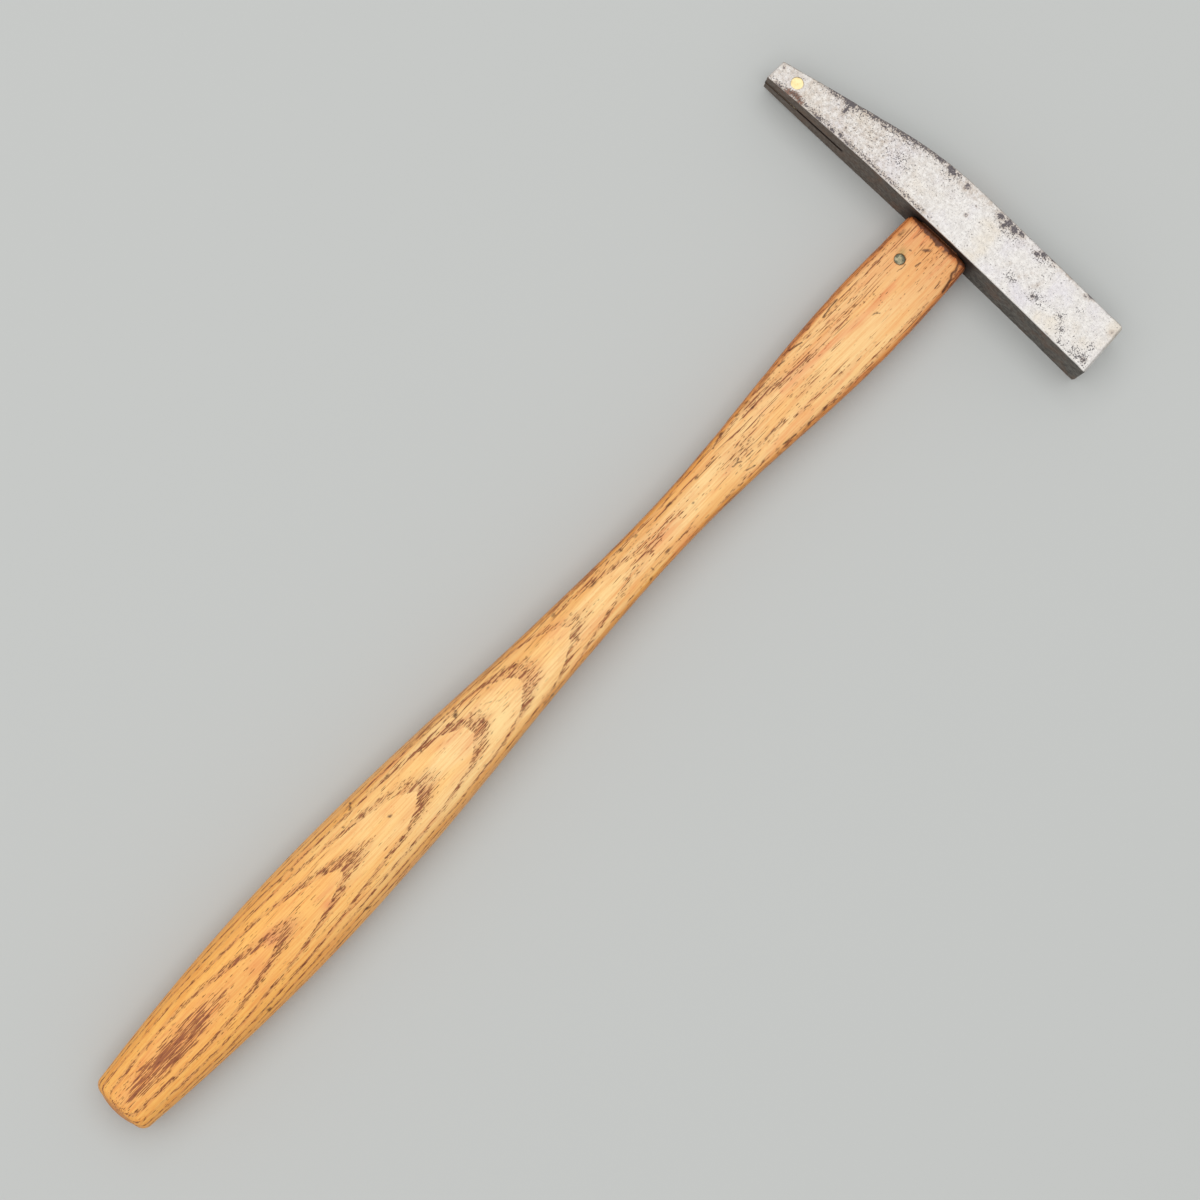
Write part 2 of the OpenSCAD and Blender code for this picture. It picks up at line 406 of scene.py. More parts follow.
def drawn_out(name: str, outline: Array, start: float, end: float, axis: Axis) -> Solid:
    """Draws a flat outline out into a solid.

    Args:
        name: Name of the object.
        outline: Corners of the outline, in the two coordinates that the axis leaves, in their order.
        start: Place of one end along the axis.
        end: Place of the other end.
        axis: Direction in which the outline is drawn.

    Returns:
        The new object.
    """
    count = len(outline)
    ends = [np.insert(outline, axis.value, place, axis=1) for place in (start, end)]
    sides = [(i, (i + 1) % count, count + (i + 1) % count, count + i) for i in range(count)]
    caps = [tuple(range(count - 1, -1, -1)), tuple(range(count, 2 * count))]
    made = object_of(name, np.vstack(ends), sides + caps)
    turn_outwards(made)
    return made


def stadium(length: float, width: float, count: int = 96) -> Array:
    """Outline of a slot with round ends.

    Args:
        length: Length over the round ends.
        width: Width, which is also the diameter of the ends.
        count: Number of points.

    Returns:
        Points of the outline, with its length along the first coordinate.
    """
    angles = 2 * np.pi * (np.arange(count) + 0.5) / count
    shift = np.where(np.cos(angles) > 0, 1, -1) * (length - width) / 2
    return np.stack([shift + width / 2 * np.cos(angles), width / 2 * np.sin(angles)], axis=1)


def carve(body: Solid, tool: Solid, action: Carve) -> None:
    """Cuts a body with a tool shape, or joins the two, and removes the tool.

    Args:
        body: Object that is changed.
        tool: Closed shape that cuts or joins.
        action: What is done.
    """
    step = body.modifiers.new("carve", "BOOLEAN")
    step.operation = action.value
    step.solver = "EXACT"
    step.object = tool
    done = bpy.data.meshes.new_from_object(body.evaluated_get(bpy.context.evaluated_depsgraph_get()))
    body.modifiers.remove(step)
    old = body.data
    body.data = done
    bpy.data.meshes.remove(old)
    bpy.data.meshes.remove(tool.data)


def drill(body: Solid, spot: Array, diameter: float, reach: float) -> None:
    """Drills a round hole along z."""
    hole = stadium(diameter, diameter, HOLE_POINTS) + spot
    carve(body, drawn_out("drill", hole, -reach, reach, Axis.Z), Carve.CUT)


class NodeBench:
    """Node graph of one material, made call by call."""

    def __init__(self, name: str) -> None:
        """Starts a material with one Principled shader.

        Args:
            name: Name of the material.
        """
        self.material = bpy.data.materials.new(name)
        self.material.use_nodes = True
        self.tree = self.material.node_tree
        self.shader = self.tree.nodes["Principled BSDF"]

    def feed(self, node: bpy.types.Node, values: dict[int | str, object]) -> None:
        """Gives sockets of a node links or plain values.

        Args:
            node: Node that is fed.
            values: Output socket, number, vector or colour for each input socket.
        """
        for key, value in values.items():
            if isinstance(value, Socket):
                self.tree.links.new(value, node.inputs[key])
            else:
                node.inputs[key].default_value = value

    def add(self, kind: str, values: dict[int | str, object], **settings: object) -> bpy.types.Node:
        """Adds a node.

        Args:
            kind: Blender's name of the node type.
            values: What goes into its input sockets.
            settings: Properties of the node and their values.

        Returns:
            The node.
        """
        node = self.tree.nodes.new(kind)
        for key, value in settings.items():
            setattr(node, key, value)
        self.feed(node, values)
        return node

    def number(self, name: str) -> Socket:
        """Value that the mesh stores under a name."""
        return self.add("ShaderNodeAttribute", {}, attribute_name=name).outputs["Fac"]

    def vector(self, name: str) -> Socket:
        """Vector that the mesh stores under a name."""
        return self.add("ShaderNodeAttribute", {}, attribute_name=name).outputs["Vector"]

    def place(self) -> Socket:
        """Place on the object in millimetres of the row frame."""
        source = self.add("ShaderNodeTexCoord", {}).outputs["Object"]
        return self.add("ShaderNodeVectorMath", {0: source, 1: (1 / MM,) * 3}, operation="MULTIPLY").outputs[0]

    def cell_place(self, vector: Socket, cells: Cells, shift: float) -> Socket:
        """Place counted in cells of a noise.

        Args:
            vector: Place in millimetres.
            cells: Cells to a millimetre, one number or one for each axis.
            shift: Number that picks another part of the noise.

        Returns:
            Output socket of the place.
        """
        by = cells if isinstance(cells, tuple) else (cells, cells, cells)
        values = {0: vector, 1: by, 2: (shift, shift * 0.7, -shift)}
        return self.add("ShaderNodeVectorMath", values, operation="MULTIPLY_ADD").outputs[0]

    def noise(self, vector: Socket, cells: Cells, detail: float = 2.0,
              roughness: float = 0.5, shift: float = 0.0) -> Socket:
        """Noise around 0.5.

        Args:
            vector: Place at which it is read.
            cells: Cells to a millimetre, one number or one for each axis.
            detail: Number of finer layers.
            roughness: Strength of the finer layers.
            shift: Number that picks another part of the noise.

        Returns:
            Output socket of the noise.
        """
        values = {"Vector": self.cell_place(vector, cells, shift), "Scale": 1.0, "Detail": detail,
                  "Roughness": roughness}
        return self.add("ShaderNodeTexNoise", values, noise_dimensions="3D").outputs["Fac"]

    def strokes(self, vector: Socket, cells: Cells, crowd: object, shift: float = 0.0,
                core: float = 0.2, rim: float = 0.36) -> Socket:
        """Scattered short strokes, one in the middle of each chosen random cell.

        Args:
            vector: Place at which they are read.
            cells: Cells to a millimetre, one number or one for each axis.
            crowd: Share of the cells that hold a stroke.
            shift: Number that picks another scatter.
            core: Distance from the middle of a cell up to which its stroke is full.
            rim: Distance at which the stroke ends.

        Returns:
            Output socket, 1 inside a stroke.
        """
        values = {"Vector": self.cell_place(vector, cells, shift), "Scale": 1.0}
        cell = self.add("ShaderNodeTexVoronoi", values, voronoi_dimensions="3D", feature="F1")
        pick = self.add("ShaderNodeSeparateColor", {0: cell.outputs["Color"]}).outputs[0]
        body = self.step(cell.outputs["Distance"], core, rim, 1.0, 0.0)
        low, high = self.minus(crowd, PICK_SOFTNESS), self.plus(crowd, PICK_SOFTNESS)
        return self.times(body, self.step(pick, low, high, 1.0, 0.0))

    def calc(self, operation: str, *values: object) -> Socket:
        """One step of arithmetic."""
        return self.add("ShaderNodeMath", dict(enumerate(values)), operation=operation).outputs[0]

    def times(self, a: object, b: object) -> Socket:
        """Product of two values."""
        return self.calc("MULTIPLY", a, b)

    def plus(self, a: object, b: object) -> Socket:
        """Sum of two values."""
        return self.calc("ADD", a, b)

    def minus(self, a: object, b: object) -> Socket:
        """Difference of two values."""
        return self.calc("SUBTRACT", a, b)

    def most(self, a: object, b: object) -> Socket:
        """Higher one of two values."""
        return self.calc("MAXIMUM", a, b)

    def raised(self, value: object, by: object, base: object) -> Socket:
        """Base raised by a share of a value."""
        return self.calc("MULTIPLY_ADD", value, by, base)

    def ruffle(self, value: object, noise: object, reach: float) -> Socket:
        """Value moved up and down by a noise."""
        return self.plus(value, self.times(self.minus(noise, 0.5), reach))

    def step(self, value: object, low: object, high: object, start: float = 0.0,
             end: float = 1.0) -> Socket:
        """Smooth step of a value."""
        values = {"Value": value, "From Min": low, "From Max": high, "To Min": start, "To Max": end}
        return self.add("ShaderNodeMapRange", values, interpolation_type="SMOOTHSTEP").outputs[0]

    def paint(self, colour: object) -> object:
        """Colour as a shader takes it: a screen colour is turned, a socket stays."""
        return linear(colour) if isinstance(colour, tuple) else colour

    def lay(self, share: object, under: object, over: object,
            mixing: Mixing = Mixing.COVER) -> Socket:
        """One colour laid over another.

        Args:
            share: How much of the upper colour counts.
            under: Screen colour or socket below.
            over: Screen colour or socket above.
            mixing: How the two are put together.

        Returns:
            Output socket of the colour.
        """
        values = {MIX_SHARE: share, MIX_UNDER: self.paint(under), MIX_OVER: self.paint(over)}
        node = self.add("ShaderNodeMix", {}, data_type="RGBA", blend_type=mixing.value, clamp_result=False)
        self.feed(node, values)
        return node.outputs[MIX_RESULT]

    def relief(self, height: object, depth: float, under: object = None) -> Socket:
        """Fine relief of the surface.

        Args:
            height: Height from 0 to 1.
            depth: Height of 1 in millimetres.
            under: Relief on which this one lies.

        Returns:
            Output socket of the normal.
        """
        values = {"Strength": 1.0, "Distance": depth * MM, "Height": height}
        if under is not None:
            values["Normal"] = under
        return self.add("ShaderNodeBump", values).outputs[0]

    def finish(self, colour: object, roughness: object, normal: object, metallic: object = 0.0,
               specular: float = 0.5) -> bpy.types.Material:
        """Feeds the shader.

        Args:
            colour: Base colour.
            roughness: Roughness.
            normal: Relief, or None for a plain surface.
            metallic: Share of metal.
            specular: Specular level, the same all over.

        Returns:
            The material.
        """
        values = {"Base Color": self.paint(colour), "Roughness": roughness, "Metallic": metallic,
                  "Specular IOR Level": specular}
        if normal is not None:
            values["Normal"] = normal
        self.feed(self.shader, values)
        return self.material


@dataclass(frozen=True)
class SteelFinish:
    """Old ground steel: pale cheeks with clusters of dark specks, and a grey-brown skin elsewhere."""

    bright: Rgb = (230, 227, 223)
    grey: Rgb = (214, 210, 206)
    shade: Rgb = (176, 172, 170)
    warm: Rgb = (222, 211, 192)
    cool: Rgb = (212, 208, 220)
    brown: Rgb = (186, 170, 154)
    purple: Rgb = (138, 131, 136)
    dark: Rgb = (82, 76, 80)
    rust: Rgb = (134, 84, 58)
    skin: Rgb = (109, 105, 98)
    skin_deep: Rgb = (73, 69, 63)
    skin_rust: Rgb = (112, 84, 64)
    slot: Rgb = (44, 24, 12)

    def material(self) -> bpy.types.Material:
        """Makes the material.

        Returns:
            Steel that reads the fields that Head.dress() stores.
        """
        b = NodeBench("old_steel")
        place = b.place()
        mottle = b.noise(place, 0.9, 4.0, 0.62, 3.0)
        fine = b.noise(place, 2.1, 3.0, 0.7, 7.0)
        brush = b.noise(place, (6.0, 0.35, 6.0), 2.0, 0.5, 23.0)
        cheek = self.cheek(b, mottle, fine, brush)
        ragged = b.ruffle(b.number("stain"), b.noise(place, 1.7, 4.0, 0.65, 31.0), 1.1)
        ragged = b.ruffle(ragged, fine, 1.5)
        cluster = b.step(ragged, 0.38, 0.74)
        fleck = self.flecks(b, cluster)
        rust = b.step(b.ruffle(b.number("rust"), fine, 1.6), 0.38, 0.62)

        colour = b.lay(b.times(b.step(ragged, 0.05, 0.5), 0.5), cheek, self.brown)
        colour = b.lay(b.times(cluster, 0.7), colour, self.purple)
        colour = b.lay(b.times(fleck, 0.85), colour, self.dark)
        brown = b.lay(b.step(fine, 0.35, 0.65), self.skin_deep, self.rust)
        colour = b.lay(b.times(rust, 0.8), colour, brown)
        skin = b.step(b.ruffle(b.number("skin"), fine, 0.6), 0.4, 0.6)
        colour = b.lay(skin, colour, self.crust(b, mottle, brush))
        # Rubbed bright metal on the edges, partly a painted highlight along the bevels.
        edge = b.step(b.ruffle(b.number("edge"), fine, 0.5), 0.36, 0.7, 0.0, 0.95)
        colour = b.lay(edge, colour, self.bright)
        # The slot's walls are painted near black: painted shade inside the narrow slot.
        slot = b.step(b.number("slot"), 0.76, 0.86)
        colour = b.lay(slot, colour, self.slot)
        # Soiling and painted shade on the underside where the handle meets the head.
        colour = b.lay(b.times(b.number("darkening"), 0.9), colour, self.slot)

        marred = b.most(b.times(cluster, 0.6), b.most(fleck, rust))
        clean = b.minus(1.0, b.most(skin, marred))
        metal = b.times(b.most(clean, edge), b.minus(1.0, slot))
        metallic = b.step(metal, 0.0, 1.0, 0.2, 0.85)
        roughness = b.plus(b.step(metal, 0.0, 1.0, 0.62, 0.42), b.times(fine, 0.14))
        normal = b.relief(b.minus(b.times(fine, 0.7), fleck), 0.016)
        normal = b.relief(b.minus(mottle, b.times(cluster, 0.5)), 0.03, normal)
        return b.finish(colour, roughness, normal, metallic)

    def cheek(self, b: NodeBench, mottle: object, fine: object, brush: object) -> Socket:
        """Colour of the ground cheeks, with their warm, cool and brown parts.

        Args:
            b: Node bench of the material.
            mottle: Noise of the patches.
            fine: Noise of the small grain.
            brush: Noise of the rubbed streaks.

        Returns:
            Output socket of the colour.
        """
        tint = b.noise(b.place(), 0.11, 3.0, 0.5, 19.0)
        patina = b.number("patina")
        colour = b.lay(b.step(mottle, 0.32, 0.66), self.grey, self.bright)
        colour = b.lay(b.step(tint, 0.5, 0.72, 0.0, 0.5), colour, self.warm)
        colour = b.lay(b.step(tint, 0.48, 0.26, 0.0, 0.4), colour, self.cool)
        colour = b.lay(b.times(patina, b.step(mottle, 0.34, 0.62, 0.85, 0.2)), colour, self.brown)
        grain = b.times(b.step(fine, 0.54, 0.36), b.raised(patina, 0.18, 0.32))
        colour = b.lay(grain, colour, self.shade, Mixing.SHADE)
        return b.lay(b.step(brush, 0.6, 0.35, 0.0, 0.12), colour, self.shade, Mixing.SHADE)

    def flecks(self, b: NodeBench, cluster: object) -> Socket:
        """Dark specks, thick in the stains and in the places that the mesh calls pepper.

        Args:
            b: Node bench of the material.
            cluster: Share of a stain.

        Returns:
            Output socket, 1 inside a speck.
        """
        place = b.place()
        pepper = b.number("pepper")
        level = b.plus(b.noise(place, 2.7, 2.0, 0.6, 11.0), b.times(cluster, 0.14))
        level = b.plus(level, b.times(b.number("stain"), 0.1))
        level = b.plus(level, b.times(pepper, 0.17))
        dots = b.strokes(place, 1.0, b.raised(pepper, 0.5, 0.07), 3.0, 0.14, 0.26)
        return b.most(b.step(level, 0.66, 0.72), b.times(dots, 0.7))

    def crust(self, b: NodeBench, mottle: object, brush: object) -> Socket:
        """Colour of the dark skin on the narrow sides.

        Args:
            b: Node bench of the material.
            mottle: Noise of the patches.
            brush: Noise of the rubbed streaks.

        Returns:
            Output socket of the colour.
        """
        cloud = b.noise(b.place(), 0.16, 5.0, 0.6)
        colour = b.lay(b.step(mottle, 0.35, 0.65), self.skin_deep, self.skin)
        colour = b.lay(b.step(cloud, 0.46, 0.68, 0.0, 0.6), colour, self.skin_rust)
        colour = b.lay(b.times(b.number("patina"), 0.5), colour, self.skin_rust)
        colour = b.lay(b.step(brush, 0.56, 0.7, 0.0, 0.3), colour, self.shade)
        # Rust along the slot's edges, partly painted shade that widens the slot's dark line.
        return b.lay(b.times(b.number("rim"), 0.85), colour, self.skin_deep, Mixing.SHADE)


@dataclass(frozen=True)
class AshFinish:
    """Old oiled ash: growth rings with rows of open pores, orange bevels partly in painted shade, cracks, and
    worn soiling with painted shade on the sides and at the shoulder.
    """

    pale: Rgb = (255, 219, 152)
    gold: Rgb = (253, 187, 92)
    bevel: Rgb = (230, 156, 62)
    blush: Rgb = (236, 150, 96)
    porous: Rgb = (204, 136, 88)
    tan: Rgb = (222, 146, 84)
    strand: Rgb = (144, 76, 40)
    raw: Rgb = (202, 112, 46)
    green: Rgb = (150, 150, 92)
    pore: Rgb = (98, 46, 19)
    crack: Rgb = (72, 34, 17)
    end_grain: Rgb = (196, 118, 58)

    def material(self) -> bpy.types.Material:
        """Makes the material.

        Returns:
            Ash that reads the fields that Handle.dress() stores.
        """
        b = NodeBench("oiled_ash")
        fibre = b.vector("fibre")
        ring = b.ruffle(b.number("ring"), b.noise(fibre, (0.1, 0.9, 0.9), 3.0, 0.6), 0.14)
        phase = b.calc("FRACT", ring)
        hair = b.noise(fibre, (0.07, 2.7, 2.7), 2.0, 0.6, 13.0)
        thread = b.noise(fibre, (0.04, 1.2, 1.2), 2.0, 0.6, 37.0)
        crowd = self.crowd(b, fibre, phase)
        pore = self.pores(b, fibre, crowd)
        strand = self.strands(b, fibre, crowd)

        colour = self.ground(b, fibre, phase)
        colour = b.lay(b.times(crowd, 0.46), colour, self.porous)
        colour = b.lay(b.step(hair, 0.6, 0.3, 0.0, 0.32), colour, self.bevel, Mixing.SHADE)
        colour = b.lay(b.step(thread, 0.5, 0.28, 0.0, 0.24), colour, self.bevel, Mixing.SHADE)
        freckle = b.noise(fibre, (1.1, 2.4, 2.4), 3.0, 0.6, 53.0)
        colour = b.lay(b.step(freckle, 0.42, 0.26, 0.0, 0.3), colour, self.bevel, Mixing.SHADE)
        colour = b.lay(b.times(strand, 0.9), colour, self.strand)
        # Handling soiling, plus painted shade on the sides that turn from the light and next to the head.
        grime_and_shade = b.step(b.ruffle(b.number("grime_and_shade"), thread, 1.4), 0.3, 0.85)
        colour = b.lay(b.times(grime_and_shade, 0.5), colour, self.pore)
        colour = b.lay(b.times(pore, 0.98), colour, self.pore)
        colour = b.lay(b.times(b.number("open_end"), 0.6), colour, self.end_grain)
        needles = b.noise(fibre, (0.7, 3.6, 3.6), 2.0, 0.6, 9.0)
        # Cracks and stains, with painted shade in the shoulder gap and on the lower edge of the butt.
        stain = b.step(b.ruffle(b.number("stain"), needles, 0.9), 0.3, 0.95)
        colour = b.lay(b.times(stain, 0.85), colour, self.crack)

        roughness = b.plus(b.step(hair, 0.3, 0.7, 0.42, 0.52), b.times(pore, 0.2))
        normal = b.relief(b.minus(b.times(hair, 0.3), b.most(pore, strand)), 0.06)
        return b.finish(colour, roughness, normal, 0.0, 0.35)

    def crowd(self, b: NodeBench, fibre: object, phase: object) -> Socket:
        """How thick the wood is with pores: in the early part of each ring, and where the mesh says so.

        Args:
            b: Node bench of the material.
            fibre: Place along and across the fibres.
            phase: Place inside a growth ring, from 0 to 1.

        Returns:
            Output socket, from 0 to 1.
        """
        band = b.number("band")
        early = b.step(phase, b.times(band, 0.3), band, 1.0, 0.0)
        early = b.times(b.times(early, b.step(phase, 0.0, 0.03)), b.number("grain"))
        breaks = b.noise(fibre, (0.17, 0.6, 0.6), 2.0, 0.5, 41.0)
        return b.most(b.times(early, b.step(breaks, 0.34, 0.56, 0.5, 1.0)), b.number("crowd"))

    def pores(self, b: NodeBench, fibre: object, crowd: object) -> Socket:
        """Open pores of three lengths.

        Args:
            b: Node bench of the material.
            fibre: Place along and across the fibres.
            crowd: How thick the wood is with pores.

        Returns:
            Output socket, 1 inside a pore.
        """
        long_pores = b.strokes(fibre, (0.31, 3.4, 3.4), b.times(crowd, 0.62), 5.0, 0.18, 0.33)
        short_pores = b.strokes(fibre, (0.5, 3.8, 3.8), b.times(crowd, 0.58), 9.0, 0.18, 0.34)
        pin_pores = b.strokes(fibre, (0.9, 3.2, 3.2), b.raised(crowd, 0.5, 0.02), 13.0, 0.22, 0.36)
        return b.most(b.most(long_pores, b.times(short_pores, 0.85)), b.times(pin_pores, 0.6))

    def strands(self, b: NodeBench, fibre: object, crowd: object) -> Socket:
        """Thin dark strands along the fibres.

        Args:
            b: Node bench of the material.
            fibre: Place along and across the fibres.
            crowd: How thick the wood is with pores.

        Returns:
            Output socket, 1 inside a strand.
        """
        short = b.noise(fibre, (0.26, 3.1, 3.1), 1.0, 0.5, 5.0)
        long = b.raised(b.number("lines"), 0.26, b.noise(fibre, (0.08, 3.1, 3.1), 1.0, 0.5, 71.0))
        return b.most(b.step(b.raised(crowd, 0.19, short), 0.71, 0.78),
                      b.step(b.raised(crowd, 0.1, long), 0.71, 0.79))

    def ground(self, b: NodeBench, fibre: object, phase: object) -> Socket:
        """Colour of the wood below its pores, strands and dirt.

        Args:
            b: Node bench of the material.
            fibre: Place along and across the fibres.
            phase: Place inside a growth ring, from 0 to 1.

        Returns:
            Output socket of the colour.
        """
        tone = b.noise(fibre, (0.035, 0.22, 0.22), 3.0, 0.5, 17.0)
        cloud = b.noise(fibre, (0.07, 0.3, 0.3), 4.0, 0.6, 29.0)
        level = b.number("level")
        colour = b.lay(level, self.gold, self.pale)
        colour = b.lay(b.step(tone, 0.4, 0.66, 0.0, 0.4), colour, self.gold)
        late = b.times(b.step(phase, 0.55, 0.95, 0.0, 0.14), b.times(b.number("grain"), level))
        colour = b.lay(late, colour, self.blush)
        # Darker orange on the bevels and sides, partly painted shade.
        colour = b.lay(b.number("bevel"), colour, self.bevel)
        colour = b.lay(b.number("tan"), colour, self.tan)
        blush = b.plus(b.times(b.number("blush"), 0.8), b.step(cloud, 0.54, 0.72, 0.0, 0.32))
        colour = b.lay(blush, colour, self.blush)
        colour = b.lay(b.number("raw"), colour, self.raw)
        return b.lay(b.times(b.number("green"), 0.55), colour, self.green)


@dataclass(frozen=True)
class BrassFinish:
    """Rubbed brass with fine scratches and dark stains."""

    bright: Rgb = (228, 208, 160)
    dull: Rgb = (222, 196, 138)
    stain: Rgb = (96, 70, 40)
    tarnish: float = 0.25

    def material(self) -> bpy.types.Material:
        """Makes the material.

        Returns:
            Brass with procedural scratches and stains.
        """
        b = NodeBench("rubbed_brass_%02d" % round(100 * self.tarnish))
        place = b.place()
        cloud = b.noise(place, 0.9, 4.0, 0.6)
        scratch = b.noise(place, (1.5, 14.0, 14.0), 2.0, 0.5, 5.0)
        grit = b.noise(place, 6.0, 2.0, 0.5, 8.0)
        colour = b.lay(b.step(cloud, 0.4, 0.65, 0.0, 0.6), self.bright, self.dull)
        colour = b.lay(b.step(scratch, 0.58, 0.72, 0.0, 0.3), colour, self.dull)
        darkening = b.step(b.plus(cloud, b.times(grit, 0.3)), 0.9 - self.tarnish, 1.0 - self.tarnish)
        colour = b.lay(darkening, colour, self.stain)
        roughness = b.plus(b.step(cloud, 0.3, 0.7, 0.3, 0.42), b.times(darkening, 0.2))
        normal = b.relief(b.plus(b.times(scratch, 0.4), grit), 0.012)
        return b.finish(colour, roughness, normal, b.step(darkening, 0.0, 1.0, 1.0, 0.3))


@dataclass(frozen=True)
class PinFinish:
    """Pin end with a grey-green tarnish."""

    metal: Rgb = (162, 154, 126)
    green: Rgb = (112, 112, 92)
    dark: Rgb = (58, 52, 44)

    def material(self) -> bpy.types.Material:
        """Makes the material.

        Returns:
            Tarnished metal with rubbed high spots.
        """
        b = NodeBench("tarnished_pin")
        place = b.place()
        cloud = b.noise(place, 0.8, 4.0, 0.6, 2.0)
        grit = b.noise(place, 4.0, 3.0, 0.6, 6.0)
        colour = b.lay(b.step(cloud, 0.42, 0.58), self.green, self.metal)
        colour = b.lay(b.step(grit, 0.52, 0.66, 0.0, 0.7), colour, self.dark)
        roughness = b.step(cloud, 0.4, 0.6, 0.55, 0.36)
        normal = b.relief(b.plus(grit, cloud), 0.05)
        return b.finish(colour, roughness, normal, b.step(cloud, 0.42, 0.58, 0.5, 0.95))


@dataclass(frozen=True)
class WedgeFinish:
    """End grain of a hard dark wedge."""

    light: Rgb = (150, 98, 56)
    dark: Rgb = (84, 50, 30)

    def material(self) -> bpy.types.Material:
        """Makes the material.

        Returns:
            Fine close-grained wood.
        """
        b = NodeBench("wedge_wood")
        place = b.place()
        grain = b.noise(place, (0.2, 1.6, 3.4), 4.0, 0.6)
        speck = b.noise(place, (0.7, 7.0, 7.0), 2.0, 0.5, 4.0)
        colour = b.lay(b.step(grain, 0.35, 0.65), self.dark, self.light)
        colour = b.lay(b.step(speck, 0.58, 0.7, 0.0, 0.7), colour, self.dark)
        normal = b.relief(b.minus(grain, speck), 0.06)
        return b.finish(colour, b.step(grain, 0.3, 0.7, 0.5, 0.65), normal, 0.0, 0.4)


Finish = SteelFinish | AshFinish | BrassFinish | PinFinish | WedgeFinish


class Piece:
    """A piece of the hammer: it is built, dressed and tied to the node that it stands for."""

    node: str
    slot: str
    finish: Finish
    crease: float = 38.0

    def build(self) -> Solid:
        """Builds the mesh."""
        raise NotImplementedError

    def dress(self, made: Solid) -> None:
        """Wears the object and stores the fields of its finish. A plain piece needs neither."""

    def make(self) -> Solid:
        """Builds and dresses the piece, gives it its finish and ties it to the frame.

        Returns:
            The finished object.
        """
        made = self.build()
        self.dress(made)
        made.data.materials.clear()
        made.data.materials.append(self.finish.material())
        made.data.shade_smooth()
        made.data.set_sharp_from_angle(angle=math.radians(self.crease))
        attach(made, BODY)
        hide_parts(self.node)
        log.info("%s: %d faces", made.name, len(made.data.polygons))
        return made


@dataclass(frozen=True)
class HeadSurvey:
    """Points of the head, each with its distance from every side."""

    points: Array
    cheek: Array
    underside: Array
    top: Array
    face: Array
    tip: Array

    @property
    def y(self) -> Array:
        """Places along the head."""
        return self.points[:, 1]

    @property
    def z(self) -> Array:
        """Heights above the middle plane."""
        return self.points[:, 2]

    @property
    def rise(self) -> Array:
        """Heights above the ends of the underside."""
        return self.points[:, 0] - LAYOUT.underside

    @property
    def gaps(self) -> Array:
        """Distances from the nearest side, from the second nearest and so on."""
        return np.sort([self.cheek, self.underside, self.top, self.face, self.tip], axis=0)

    @property
    def on_cheek(self) -> Array:
        """Whether a point lies on one of the cheeks."""
        return self.cheek < 0.3

    @property
    def upper(self) -> Array:
        """1 on the upper half, 0 on the lower one."""
        return smooth(-1, 1, self.z)


